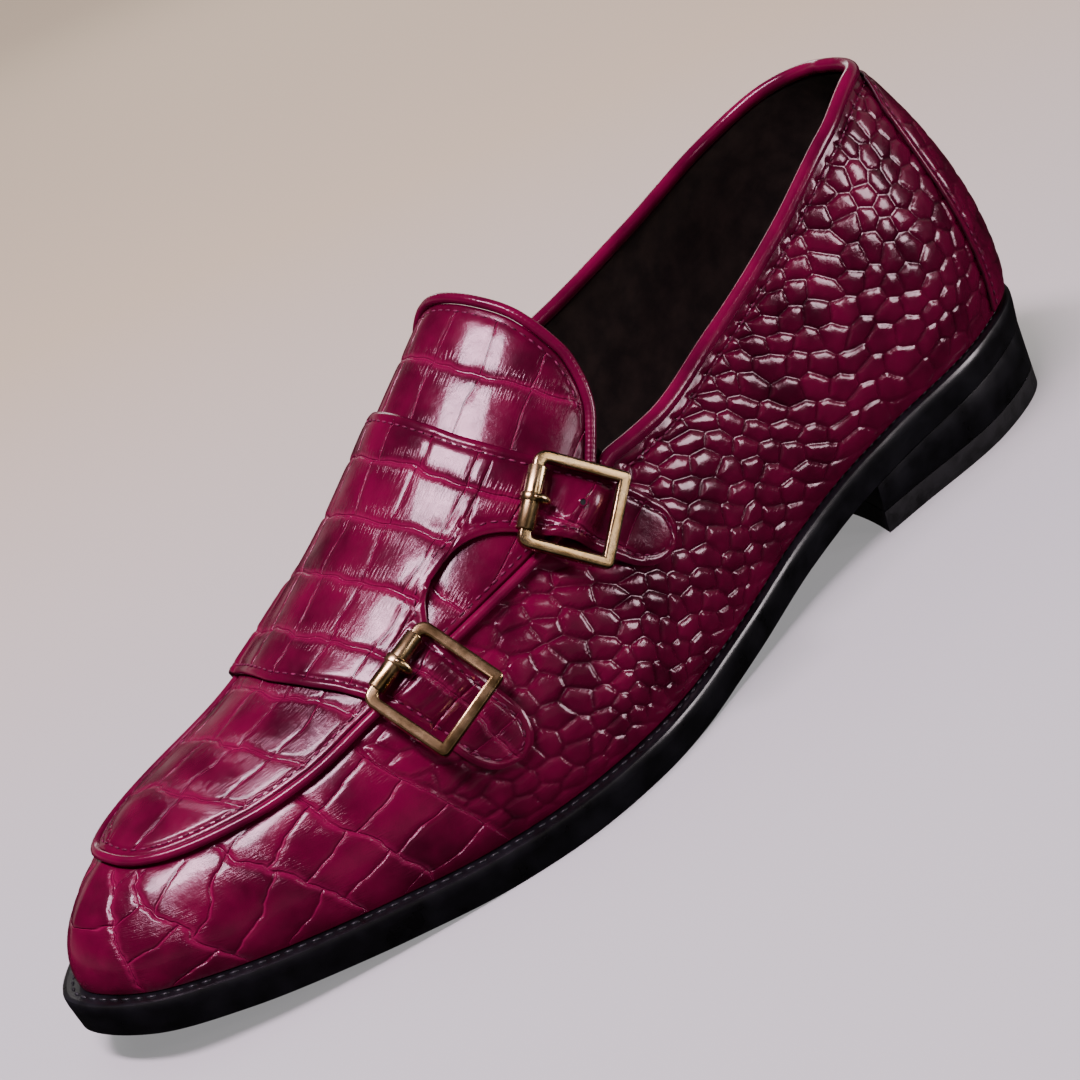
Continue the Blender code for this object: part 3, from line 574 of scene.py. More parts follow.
# %% [markdown]
# ## Helpers for every mesh
#
# Each piece starts from a bmesh, is put in its place vertex by vertex or by a matrix, and ends as
# a smooth mesh. These three steps are the same for all of them.

# %% Mesh helpers
def unit_grid(bm, columns, rows):
    """Flat grid, and how far along and up each of its vertices is, from 0 to 1."""
    verts = bmesh.ops.create_grid(bm, x_segments=columns, y_segments=rows, size=0.5)["verts"]
    s, t = np.array([vert.co[:2] for vert in verts]).T + 0.5
    return verts, s, t


def put(verts, points):
    """Puts each vertex at its point, given in the last's millimetres."""
    for vert, point in zip(verts, (points - ORIGIN) * MM):
        vert.co = point


def finished(bm, name, crisp=None):
    """A smooth mesh from a bmesh; edges sharper than so many degrees stay crisp."""
    mesh = bpy.data.meshes.new(name)
    bm.to_mesh(mesh)
    bm.free()
    mesh.shade_smooth()
    if crisp:
        mesh.set_sharp_from_angle(angle=math.radians(crisp))
    return mesh


trial = bmesh.new()
print("a grid of 3 by 2 squares has", len(unit_grid(trial, 3, 2)[0]), "vertices")
trial.free()

# %% [markdown]
# ## Sheets, tubes and stitches
#
# Almost every piece of a shoe is a sheet, a rolled edge or a row of stitches, so three makers are
# enough. A sheet could be drawn flat and shrink-wrapped onto the last, but its seams would wander.
# So it starts as a flat grid from `bmesh.ops.create_grid`, whose two directions become shares of
# the last, and each vertex is moved to its own place. All ribs of the last run together at the
# toe's end of the ridge, so the vertices that crowd round it become one.

# %% Sheet maker
CROWDED_MM = 1.0
MERGE_MM = 0.01
GIRTH = 120.0


def mark_points(mesh, name, values):
    found = mesh.attributes.new(name, "FLOAT", "POINT")
    found.data.foreach_set("value", np.asarray(values, np.float32))


def map_surface(mesh, u, v):
    """UV map in decimetres of surface, so that a pattern keeps its real size."""
    layer = mesh.uv_layers.new(name="surface")
    corner = np.empty(len(mesh.loops), np.int32)
    mesh.loops.foreach_get("vertex_index", corner)
    layer.data.foreach_set("uv", np.stack([u[corner], v[corner]], 1).astype(np.float32).ravel())


def merged_shares(bm, layer):
    """Merges what meets on the last, and gives tau, w and patch of the vertices that are left."""
    shares = np.array([vert[layer][:] for vert in bm.verts])
    for vert, point in zip(bm.verts, last(shares[:, 0], shares[:, 1])):
        vert.co = point
    bmesh.ops.remove_doubles(bm, verts=bm.verts, dist=MERGE_MM)
    toe_end = Vector(last(1.0, 0.0))
    crowd = [vert for vert in bm.verts if (vert.co - toe_end).length < CROWDED_MM]
    for vert in crowd:
        vert[layer] = (1.0, 0.0, vert[layer][2])
    bmesh.ops.pointmerge(bm, verts=crowd, merge_co=toe_end)
    return np.array([vert[layer][:] for vert in bm.verts]).T


def sheet_mesh(name, patches, surface):
    """Mesh of joined grids. surface(tau, w, patch) gives the points and the leather's marks."""
    bm = bmesh.new()
    layer = bm.verts.layers.float_vector.new("shares")
    for number, (columns, rows, chart) in enumerate(patches):
        verts, s, t = unit_grid(bm, columns, rows)
        for vert, a, b in zip(verts, *chart(s, t)):
            vert[layer] = (a, b, number)
    tau, w, patch = merged_shares(bm, layer)
    points, marks = surface(tau, w, patch)
    put(bm.verts, points)
    bm.verts.layers.float_vector.remove(layer)
    mesh = finished(bm, name)
    facing = np.array([polygon.normal for polygon in mesh.polygons])
    first = np.array([polygon.vertices[0] for polygon in mesh.polygons])
    if (facing * outward(tau, w)[first]).sum() < 0:
        mesh.flip_normals()
    for label, values in zip(("row", "lane", "rim", "tone"), np.broadcast_to(marks, (4, len(tau)))):
        mark_points(mesh, label, values)
    map_surface(mesh, tau * SIDE_LENGTH / UV_MM, np.abs(w) * GIRTH / UV_MM)
    return mesh


# %% [markdown]
# Every piece rides on the shoe's one body. A piece that stands for a solid names it, and the solid
# is hidden. Bindings and stitches have no tiles, so all of their points are marked as far from any
# line.

# %% Piece maker
FAR_MM = 9.0


def add_piece(name, mesh, materials, slot, *stands_for):
    if "row" not in mesh.attributes:
        for label in ("row", "lane"):
            mark_points(mesh, label, np.full(len(mesh.vertices), FAR_MM))
    for material in materials:
        mesh.materials.append(material)
    piece = bpy.data.objects.new(name, mesh)
    bpy.context.scene.collection.objects.link(piece)
    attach(piece, "root")
    if stands_for:
        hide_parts(*stands_for)
    print(name, "-", len(mesh.polygons), "faces")
    return piece


# %% [markdown]
# A tube is a grid too, rolled up and closed: one direction of the grid follows the path, and the
# other goes once round it. A curve with a bevel would do as well, but this way the section can be
# an oval that keeps its flat side on the leather.

# %% Tube maker
def tube_mesh(name, path, outs, width, height, sides, rib=1.0):
    """Tube along a path. outs are its outward directions; width and height are its half axes."""
    bm = bmesh.new()
    verts, s, t = unit_grid(bm, len(path) - 1, sides)
    place = np.round(s * (len(path) - 1)).astype(int)
    ahead = np.roll(path, -1, 0) - np.roll(path, 1, 0)
    ahead[0], ahead[-1] = path[1] - path[0], path[-1] - path[-2]
    side = np.cross(outs, ahead)
    side /= np.linalg.norm(side, axis=1)[:, None]
    up = np.cross(ahead, side)
    up /= np.linalg.norm(up, axis=1)[:, None]
    angle = 2 * np.pi * np.round(t * sides) / sides
    reach = np.cos(angle)[:, None] * side[place] * width + np.sin(angle)[:, None] * up[place] * height
    put(verts, path[place] + reach * np.broadcast_to(rib, len(path))[place][:, None])
    bmesh.ops.remove_doubles(bm, verts=bm.verts, dist=1e-6)
    bmesh.ops.holes_fill(bm, edges=[e for e in bm.edges if e.is_boundary], sides=sides)
    bmesh.ops.recalc_face_normals(bm, faces=bm.faces)
    print(name, "-", round(travelled(path)[-1]), "mm long")
    return finished(bm, name)


# %% [markdown]
# A stitch is a small ball, squeezed to the shape of a thread that lies between two holes. Modelled
# thread that dives in and out would look the same from outside, at many times the faces. Twenty
# faces each are enough, because there are hundreds of stitches.

# %% Stitch maker
def at_steps(places, way, values):
    """The rows of values, read at places along the way."""
    return np.stack([np.interp(places, way, c) for c in values.T], 1)


def stitch_mesh(name, runs, pitch, length, width, height):
    """Stitches along runs of (path, outs), one each pitch, as low ovals on the surface."""
    bm = bmesh.new()
    count = 0
    for path, outs in runs:
        way = travelled(path)
        places = np.arange(pitch / 2, way[-1], pitch)
        at = at_steps(places, way, path)
        for point, ahead, out in zip(at, at_steps(places + 0.2, way, path) - at, at_steps(places, way, outs)):
            x = Vector(ahead).normalized()
            y = Vector(out).normalized().cross(x).normalized()
            turn = Matrix((x * length / 2, y * width / 2, x.cross(y) * height / 2)).transposed().to_4x4()
            spot = Matrix.Translation(Vector(point - ORIGIN)) @ turn
            bmesh.ops.create_icosphere(bm, subdivisions=1, radius=1.0, matrix=Matrix.Scale(MM, 4) @ spot)
            count += 1
    print(name, "-", count, "stitches")
    return finished(bm, name)


# %% [markdown]
# ## The embossing plate
#
# The plate copies a reptile's hide. On the belly the tiles are large and nearly square, in rows
# that run across the shoe; on the flanks they shrink to rounded scales. Both are worked out from
# the distance to the nearest line: `tiles` takes rows that are laid out one by one, and `scales`
# takes the cells round the points of a loosened lattice. A Voronoi texture would give such cells
# too, but not in rows, and not with grooves that keep their real width in millimetres wherever the
# last stretches the pattern.

# %% Distances on the surface
SLOWEST = (20.0, 30.0)  # mm for each unit of tau and of w, where the ribs run together


def speeds(tau, w):
    """Millimetres of surface for each unit of tau and of w."""
    along = np.linalg.norm(past_tip(tau + STEP, w) - past_tip(tau - STEP, w), axis=-1) / (2 * STEP)
    high = np.clip(w + STEP, -1, 1)
    low = np.clip(w - STEP, -1, 1)
    across = np.linalg.norm(last(tau, high) - last(tau, low), axis=-1) / (high - low)
    return np.maximum(along, SLOWEST[0]), np.maximum(across, SLOWEST[1])


def chance(*keys):
    """A fixed number between 0 and 1 for each set of keys."""
    total = sum((i + 1) * 12.9898 * np.asarray(k, float) for i, k in enumerate(keys))
    return np.mod(np.sin(total + 4.1) * 43758.5453, 1.0)


def wander(x, y, size, seed=0.0):
    """A smooth wobble between -1 and 1 whose waves are about size apart."""
    a, b = 2 * np.pi * x / size, 2 * np.pi * y / size
    return (
        np.sin(a + 1.7 * np.sin(0.61 * b + seed) + seed)
        + np.sin(b * 0.83 + 1.9 * np.sin(0.53 * a + 2 * seed) + 2.1)
        + np.sin(0.71 * (a + b) + 3.3 + seed)
    ) / 3


print("mm for a unit of tau and of w, half way along the side:", np.round(speeds(0.5, 0.5), 1))

# %% [markdown]
# ### Belly tiles
#
# `LINE_W` names the places across the shoe at which each row line is noted. A table of rows gives
# its `tau` there, and a second table says where the lines between the tiles of each row start,
# how they lean, and how far apart they are.

# %% Tiles in rows
LINE_W = np.array([-1.0, -0.6, -0.3, 0.0, 0.15, 0.3, 0.5, 0.75, 1.0])
BELLY_GIRTH = 110.0
ENDLESS = 99.0


def slanted(apart, lean, along, across):
    """Distance square to a line, from the distance along the shoe and the line's lean."""
    return apart * along / np.sqrt(1 + (lean * along / across) ** 2)


def tiles(tau, w, rows, lanes, seed=0.0):
    """Signed mm to the nearest row line and lane line, and a number for each tile."""
    along, across = speeds(tau, w)
    x = tau * SIDE_LENGTH
    y = w * BELLY_GIRTH
    tau = tau + (wander(x, y, 21.0, seed) * 0.9 + wander(x, y, 6.5, seed + 2) * 0.3) / along
    w = w + (wander(x, y, 17.0, seed + 5) * 0.6 + wander(x, y, 6.0, seed + 7) * 0.15) / across
    at = np.array([curve(w, LINE_W, row) for row in rows])
    lean = np.array([curve(w + 0.01, LINE_W, row) - curve(w - 0.01, LINE_W, row) for row in rows]) / 0.02
    row = (at <= tau).sum(0)
    here = np.arange(len(tau))
    end = np.full(len(tau), ENDLESS)
    ends = np.abs(np.vstack([end, slanted(tau - at, lean, along, across), end]))
    before, after = ends[row, here], ends[row + 1, here]
    nearest = np.minimum(before, after)
    row_gap = nearest * (1 - nearest / (before + after)) * (-1.0) ** row
    start, slope, pitch = np.array(lanes)[row].T
    begin = np.vstack([at[:1], at])[row, here]
    lane = (w - start - slope * (tau - begin)) / pitch
    lane_gap = np.sin(np.pi * lane) / np.pi * pitch * across / np.sqrt(1 + (slope * across / along) ** 2)
    return row_gap, lane_gap, chance(row, np.floor(lane), seed)


print("places across the shoe at which a row line is noted:", len(LINE_W))

# %% [markdown]
# ### Flank scales
#
# Points on a lattice, each pushed a little off its place, claim the surface nearest to them. The
# distance to the border between two claims follows from the two points alone. How fast the
# lattice's own columns and rows pass in each direction, in steps per millimetre, turns it into a
# real distance.

# %% Scales
def scales(a, b, rate_a, rate_b, seed=0.0, loose=0.24):
    """mm to the nearest border in a loosened lattice, and a number for each scale."""
    column_at, row_at = np.floor(a), np.floor(b)
    best = np.full(a.shape, np.inf)
    near = np.zeros((2, *a.shape))
    key = np.zeros(a.shape)
    seeds = []
    for i in range(-2, 3):
        for j in range(-2, 3):
            u, v = column_at + i, row_at + j
            px = u + 0.5 + 0.5 * np.mod(v, 2) + (chance(u, v, seed) - 0.5) * 2 * loose
            py = v + 0.5 + (chance(v, u, seed + 3) - 0.5) * 2 * loose
            seeds.append((px, py))
            far = (px - a) ** 2 + (py - b) ** 2
            won = far < best
            best = np.where(won, far, best)
            near = np.where(won, (px, py), near)
            key = np.where(won, chance(u, v, seed + 9), key)
    border = np.full(a.shape, np.inf)
    for px, py in seeds:
        dx, dy = px - near[0], py - near[1]
        size = np.hypot(dx, dy)
        other = size > 1e-6
        size = np.where(other, size, 1.0)
        dx, dy = dx / size, dy / size
        gap = ((px + near[0]) / 2 - a) * dx + ((py + near[1]) / 2 - b) * dy
        rate = np.hypot(dx * rate_a[0] + dy * rate_b[0], dx * rate_a[1] + dy * rate_b[1])
        border = np.where(other, np.minimum(border, gap / np.where(other, rate, 1.0)), border)
    return np.maximum(border, 0.0), key


one_place = np.array([0.5])
border_mm = scales(one_place, one_place, (0.15, 0.0), (0.0, 0.15))[0][0]
print("mm from the middle of a lattice cell to its nearest border:", round(float(border_mm), 2))

# %% [markdown]
# ### From distance to relief
#
# A groove has a narrow crease at its bottom and soft shoulders, and the leather between two
# grooves stays a little pillowed.

# %% Relief of a line
TONE_SPREAD = 0.3
PRESSED_FLAT = (0.5, 2.4)  # mm in from a cut edge between which the pattern sets in
UNMARKED = np.array([FAR_MM, FAR_MM, 0.0, 0.0])[:, None]


def dip(apart, width):
    """1 on a line, falling off softly to both sides of it."""
    return np.exp(-((apart / width) ** 2))


def groove(apart, depth, width, shoulder):
    """Height below the surface near a line."""
    return -depth * dip(apart, width) - 0.28 * depth * dip(apart, shoulder)


def tile_relief(row_gap, lane_gap, key):
    """Height, and the marks of the leather: row, lane, rim and tone."""
    row, lane = np.abs(row_gap), np.abs(lane_gap)
    height = 0.12 + groove(row, 0.32, 0.65, 1.6) + groove(lane, 0.17, 0.4, 1.0)
    near = np.maximum(smooth(4.2 - row, 0, 3.4), 0.3 * smooth(2.0 - lane, 0, 1.5))
    return height, np.array([row_gap, lane_gap, near, (key - 0.5) * TONE_SPREAD])


def scale_relief(border, key, depth=0.5):
    height = 0.2 - depth * np.exp(-border / 0.75)
    near = 0.6 * smooth(1.8 - border, 0, 1.5) * smooth(border, 0.1, 0.6)
    plain = np.full_like(border, FAR_MM)
    # `tone` is lower along the borders between scales: painted shade in their grooves.
    return height, np.array([plain, plain, near, (key - 0.5) * TONE_SPREAD - 0.25 * dip(border, 0.4)])


def calmed(marks, calm):
    """The marks where the pattern fades out, as it does along a seam."""
    row, lane, near, tone = marks
    fade = np.maximum(calm, 0.02)
    return np.array([row / fade, lane / fade, near * calm, tone * calm])


def seam_groove(apart, depth=0.3, width=0.55):
    """The thread pulls the leather down along a row of stitches."""
    return -depth * dip(apart, width) - 0.35 * depth * dip(apart, 1.6)


print("depth in mm on a line between two rows:", groove(0.0, 0.32, 0.65, 1.6))

# %% [markdown]
# ## The quarters and the vamp
#
# Two quarters wrap the heel and the sides, and the vamp wraps the toe. They are cut from one hide
# so that the embossing runs on from one to the next: small scales over the quarters, large tiles
# over the toe. Round the heel the scales stand in upright rows. Under the ankle they stretch into
# drops that climb towards the toe, and then they grow rounder and larger. `FLANK` charts this: how
# many columns have passed, how much the columns lean, how close the rows lie, how many rows the
# climb has passed, and how tall the wall is.

# %% Layout of the quarters
FLANK = np.array([
    # tau  columns  lean   rows   climb  wall
    (0.00, 0.0, 0.000, 0.172, 0.0, 150.0),
    (0.12, 6.1, 0.000, 0.172, 0.0, 150.0),
    (0.20, 9.8, 0.012, 0.168, 0.4, 150.0),
    (0.29, 13.1, 0.050, 0.158, 2.7, 147.0),
    (0.36, 15.2, 0.072, 0.152, 6.2, 142.0),
    (0.44, 17.5, 0.062, 0.150, 10.0, 130.0),
    (0.50, 20.0, 0.040, 0.155, 12.6, 114.0),
    (0.60, 25.0, 0.010, 0.155, 15.4, 90.0),
    (0.75, 32.0, 0.000, 0.155, 16.4, 75.0),
    (1.00, 42.0, 0.000, 0.155, 16.6, 75.0),
])
MIDDLE_HEIGHT = 28.0
INNER_SEED = 31.0


def flank_lattice(tau, w):
    """Column and row of a place on the side of the shoe."""
    up = (1 - np.abs(w)) * column(FLANK, 5, tau)
    x = tau * SIDE_LENGTH
    lean = (up - MIDDLE_HEIGHT) * column(FLANK, 2, tau)
    a = column(FLANK, 1, tau) + lean + 0.2 * wander(x, up, 31.0, 1.0)
    crowded = 0.9 * smooth(tau, 0.2, 0.35) * (1 - np.exp(-up / 7.0))
    b = up * column(FLANK, 3, tau) - column(FLANK, 4, tau) + crowded + 0.22 * wander(x, up, 25.0, 4.0)
    return a, b


def quarter_scales(tau, w):
    """Distance to the scales' borders over the sides of the shoe."""
    along, across = speeds(tau, w)
    a, b = flank_lattice(tau, w)
    rates = []
    for d_tau, d_w, length in ((STEP, 0, along), (0, STEP, across)):
        ahead, behind = flank_lattice(tau + d_tau, w + d_w), flank_lattice(tau - d_tau, w - d_w)
        rates.append([(p - q) / (2 * STEP * length) for p, q in zip(ahead, behind)])
    (a_x, b_x), (a_y, b_y) = rates
    return scales(a, b, (a_x, a_y), (b_x, b_y), np.where(w >= 0, 0.0, INNER_SEED))


print("scales from the heel to the toe:", int(FLANK[-1, 1]))

# %% [markdown]
# ### Rows of the vamp
#
# Round the toe the rows of tiles are the same on both sides, so the vamp's tables are read at |w|.
# Where the first row line passes, the scales of the quarters give way to the tiles.

# %% Layout of the vamp
VAMP_LINES = np.array([
    # w:  -1.0  -0.6   -0.3   0.0    0.15   0.3    0.5    0.75   1.0
    (0.683, 0.712, 0.722, 0.722, 0.722, 0.722, 0.719, 0.703, 0.683),
    (0.744, 0.772, 0.782, 0.785, 0.785, 0.785, 0.780, 0.757, 0.740),
    (0.800, 0.832, 0.856, 0.862, 0.862, 0.862, 0.850, 0.810, 0.786),
    (0.868, 0.902, 0.926, 0.930, 0.932, 0.934, 0.926, 0.896, 0.868),
    (0.940, 0.952, 0.960, 0.962, 0.962, 0.962, 0.958, 0.948, 0.940),
])
VAMP_LANES = [  # start, slope and pitch of the lanes between two rows
    (0.60, 0.0, 0.14), (0.605, 1.3, 0.145), (0.50, 2.1, 0.150), (0.49, 3.4, 0.165), (0.53, 2.0, 0.180),
    (0.60, 0.0, 0.50),
]
RELIEF = np.array([  # tau, depth of the scales' grooves
    (0.0, 0.35), (0.12, 0.5), (0.22, 0.62), (0.34, 0.85), (0.48, 0.8), (0.62, 0.6), (1.0, 0.5),
])
COLLAR_SEAM = 2.9


def wall_surface(tau, w, patch):
    """Outside of the upper below the rim, with its embossing."""
    border, scale_key = quarter_scales(tau, w)
    side = np.where(w >= 0, 0.0, 3.0)
    row_gap, lane_gap, tile_key = tiles(tau, np.abs(w), VAMP_LINES, VAMP_LANES, 1.3)
    first = curve(np.abs(w), LINE_W, VAMP_LINES[0])
    belly = smooth(tau, first - 0.004, first + 0.004)
    edge_gap = np.minimum(border, np.abs(row_gap))
    flank, flank_marks = scale_relief(edge_gap, scale_key + side, column(RELIEF, 1, tau))
    front, front_marks = tile_relief(row_gap, lane_gap, tile_key)
    front_marks[2] *= 0.5
    below = past_rim(tau, w)
    stitched = np.where(tau < THROAT, below - COLLAR_SEAM, FAR_MM)
    calm = smooth(below, 0.8, 2.6) * smooth((1 - np.abs(w)) * 100, -2.0, 7.0)
    height = (flank * (1 - belly) + front * belly) * calm + seam_groove(stitched)
    return skin(tau, w, height), calmed(flank_marks * (1 - belly) + front_marks * belly, calm)


def side_chart(first, final):
    """Part of the wall of the upper: s runs from tau first to final round either tip, t upwards."""
    def chart(s, t):
        way = first + (final - first) * s
        tau = np.where(way > 1, 2 - way, np.abs(way))
        outer = (way >= 0) & (way <= 1)
        w = 1 - (1 - rim_of(tau, outer)) * t
        return tau, np.where(outer, w, -w)
    return chart


print("rows of tiles on the vamp:", len(VAMP_LANES))

# %% [markdown]
# ### The three outer panels
#
# A negative share leads round the heel to the inner side, and one past 1 round the toe, so each
# panel is one grid. The outer quarter and the vamp are seen closest and have the finest grids.

# %% Quarters and vamp
VAMP_START = 0.60
for name, columns, rows, first, final in (
    ("quarter_outer", 440, 150, 0.0, VAMP_START),
    ("quarter_inner", 330, 115, 0.0, -VAMP_START),
    ("vamp", 560, 92, VAMP_START, 2 - VAMP_START),
):
    panel = sheet_mesh(name, [(columns, rows, side_chart(first, final))], wall_surface)
    add_piece(name, panel, [embossed_calf], "upper_leather", "upper")

# %% [markdown]
# ## Lining
#
# Inside, the wall is lined with napped goat, two millimetres in from the outer leather. Solidify
# could make it from the outer panels, but their embossing would show through. So it is the same
# wall laid again, a little slack, with the dent of a seam on either side, and with a cap over the
# toe that closes it where the apron lies.

# %% Lining
UPPER_WALL = 2.0
LINING_SEAM = 0.285


def on_sole(x, height=0.0):
    """Height of a place at a height above the top of the outsole."""
    return underside(x) + SOLE_THICKNESS + GAP + height


def lining_surface(tau, w, patch):
    x, y = tau * SIDE_LENGTH, np.abs(w) * GIRTH
    ease = 0.35 * wander(x, y, 46.0, 2.0) + 0.12 * wander(x, y, 13.0, 5.0)
    seam = np.abs(tau - LINING_SEAM - 0.02 * (1 - np.abs(w))) * SIDE_LENGTH
    points = skin(tau, w, -UPPER_WALL + 0.25 * ease - groove(seam, -0.5, 0.7, 2.0))
    points[..., 2] = np.maximum(points[..., 2], on_sole(points[..., 0]))
    return points, UNMARKED


def cap_chart(s, t):
    tau = THROAT + (1 - THROAT) * s
    return tau, np.where(t < 0.5, -rim(tau, False) * (1 - 2 * t), rim(tau, True) * (2 * t - 1))


lining = sheet_mesh("lining", [(200, 40, side_chart(-1.0, 1.0)), (90, 60, cap_chart)], lining_surface)
lining.flip_normals()
add_piece("lining", lining, [napped_lining], "lining", "upper")

# %% [markdown]
# ## Plates
#
# Sock, outsole and heel are plates with the sole's outline. An outline could be filled and extruded
# straight up, but these plates follow the arch. So each is a grid between the two edges of the
# sole, laid on its lower surface, extruded to its upper one, and rounded with a bevel.

# %% Plate maker
def plate_points(s, across, inset):
    """Plan points over the sole between its inner (across 0) and outer (1) edge."""
    left = edge(s, np.full(np.shape(s), True), inset)
    right = edge(s, np.full(np.shape(s), False), inset)
    return right[0] + (left[0] - right[0]) * across, right[1] + (left[1] - right[1]) * across


def gathered(s):
    """Even steps, gathered at the heel and the toe where the edge bends most."""
    return s - 0.35 * np.sin(2 * np.pi * s) / (2 * np.pi)


def bowed(across):
    """1 half way across the sole and 0 at its edges."""
    return 1 - (2 * across - 1) ** 2


def round_off(bm, edges, width, segments):
    bmesh.ops.bevel(
        bm, geom=edges, offset=width, segments=segments, profile=0.5, material=-1, affect="EDGES",
        clamp_overlap=True,
    )


def slab_mesh(name, columns, rows, lower, upper, round_mm, segments=3, round_top=True):
    """Closed solid between two surfaces over one grid, with its edges rounded."""
    bm = bmesh.new()
    layer = bm.verts.layers.float_vector.new("shares")
    for vert, a, b in zip(*unit_grid(bm, columns, rows)):
        vert[layer] = (a, b, 0.0)

    def shape(verts, surface):
        shares = np.array([vert[layer][:2] for vert in verts])
        put(verts, surface(shares[:, 0], shares[:, 1]))

    shape(bm.verts[:], lower)
    bmesh.ops.remove_doubles(bm, verts=bm.verts, dist=1e-6)
    raised = bmesh.ops.extrude_face_region(bm, geom=bm.faces[:], use_keep_orig=True)["geom"]
    above = [item for item in raised if isinstance(item, bmesh.types.BMVert)]
    shape(above, upper)
    bmesh.ops.recalc_face_normals(bm, faces=bm.faces)
    spared = set() if round_top else set(above)
    corners = [
        e for e in bm.edges
        if e.calc_face_angle(0.0) > math.radians(50) and not spared.intersection(e.verts)
    ]
    round_off(bm, corners, round_mm * MM, segments)
    bm.verts.layers.float_vector.remove(layer)
    return finished(bm, name, 40)


print("shares of the way round, gathered at both tips:", np.round(gathered(np.linspace(0, 1, 5)), 3))

# %% [markdown]
# ### Sock
#
# The sock covers the insole on which the foot stands, and it sinks a little along its middle.

# %% Sock
INSOLE_INSET = 6.4
INSOLE_THICKNESS = 2.8
INSOLE_HOLLOW = 0.9


def sock_surface(height, hollow):
    def surface(s, across):
        x, y = plate_points(gathered(s), across, INSOLE_INSET)
        return np.stack([x, y, on_sole(x, height) - hollow * bowed(across)], -1)
    return surface


sock = slab_mesh("sock", 120, 24, sock_surface(0.0, 0.0), sock_surface(INSOLE_THICKNESS, INSOLE_HOLLOW), 0.8)
add_piece("sock", sock, [sock_leather], "lining", "insole")

# %% [markdown]
# ### Outsole and welt
#
# The outsole is one plate of leather with the arch and the toe spring of the last, sanded square
# at its edge and waxed black. The welt lies on it all round.

# %% Outsole
WELT_THICKNESS = 2.7
WELT_WIDTH = 9.2
OUTSOLE_TOP = SOLE_THICKNESS - WELT_THICKNESS


def sole_surface(height, inset):
    def surface(s, across):
        x, y = plate_points(gathered(s), across, inset)
        return np.stack([x, y, underside(x) + height], -1)
    return surface


outsole = slab_mesh(
    "outsole_leather", 240, 12, sole_surface(0.0, 0.6), sole_surface(OUTSOLE_TOP, 0.02), 0.6, round_top=False,
)
add_piece("outsole_leather", outsole, [waxed_edge], "sole_leather", "outsole")

# %% [markdown]
# The welt is a strip whose section is the same all the way round. A spin would make a ring of it,
# but not one that follows the sole. So a grid is bent round the sole's edge, one of its directions
# along the edge and the other round the section, and its ends are merged.

# %% Welt
WELT_PROFILE = np.array([  # mm in from the sole's edge, mm above its underside
    (WELT_WIDTH, OUTSOLE_TOP), (0.5, OUTSOLE_TOP), (0.03, OUTSOLE_TOP), (0.0, OUTSOLE_TOP + 0.4),
    (0.0, SOLE_THICKNESS - 0.9), (0.25, SOLE_THICKNESS - 0.25), (0.8, SOLE_THICKNESS),
    (1.3, SOLE_THICKNESS - 0.06), (WELT_WIDTH, SOLE_THICKNESS - 0.06), (WELT_WIDTH, OUTSOLE_TOP),
])


def round_sole(s, inset):
    """Points of the sole's edge all the way round: out along the outer side, back by the inner."""
    outer = s <= 0.5
    x, y, _, _ = edge(gathered(np.where(outer, 2 * s, 2 - 2 * s)), outer, inset)
    return x, y


def welt_mesh():
    bm = bmesh.new()
    verts, s, t = unit_grid(bm, 520, len(WELT_PROFILE) - 1)
    inset, level = WELT_PROFILE[np.round(t * (len(WELT_PROFILE) - 1)).astype(int)].T
    x, y = round_sole(s, inset)
    put(verts, np.stack([x, y, underside(x) + level], -1))
    bmesh.ops.remove_doubles(bm, verts=bm.verts, dist=1e-6)
    bmesh.ops.recalc_face_normals(bm, faces=bm.faces)
    return finished(bm, "welt_strip", 35)


add_piece("welt_strip", welt_mesh(), [waxed_edge], "sole_leather", "welt")

# %% [markdown]
# ### Heel
#
# The stacked heel stands under the sole with a rubber top lift. Both are plates over the rear of
# the sole's outline: they taper towards the floor, and the breast in front is hollow.

# %% Heel
HEEL_BREAST_X = 78.0
HEEL_BREAST_HOLLOW = 5.0
HEEL_TAPER = 2.6
HEEL_TOP_INSET = 0.7
HEEL_RAKE = 2.8
TOP_LIFT = 6.0
HEEL_END = float(np.interp(HEEL_BREAST_X, OUTER_EDGE[:, 0], EVEN))


def heel_surface(level):
    """Surface of the heel at a level, which may follow the underside of the sole."""
    def surface(s, across):
        x, _ = plate_points(s * HEEL_END, across, 0.0)
        share = level(x) / underside(x)
        x, y = plate_points(s * HEEL_END, across, HEEL_TAPER + (HEEL_TOP_INSET - HEEL_TAPER) * share)
        hollow = HEEL_BREAST_HOLLOW * s**4 * bowed(across)
        return np.stack([x - hollow - HEEL_RAKE * (1 - share) * (1 - s), y, level(x - hollow)], -1)
    return surface


def flat(height):
    return heel_surface(lambda x: np.full_like(x, height))


under_sole = heel_surface(lambda x: underside(x) - 0.25)
lift = slab_mesh("rubber_top_lift", 60, 30, flat(0.0), flat(TOP_LIFT - 0.1), 0.5)
add_piece("rubber_top_lift", lift, [heel_rubber], "top_lift_rubber", "top_lift")
stack = slab_mesh("stacked_heel", 60, 30, flat(TOP_LIFT + 0.15), under_sole, 0.3, 2)
add_piece("stacked_heel", stack, [waxed_edge], "heel_leather", "heel_stack")

# %% [markdown]
# ## Apron and tongue
#
# The apron is the flat plug on top of the toe, and it runs on under the saddle to end in the
# tongue. Its rows of tiles are laid out across the shoe; a row of stitches follows its edge. A
# Solidify modifier gives the sheet its thickness, with the cut edge's own finish on its rim.

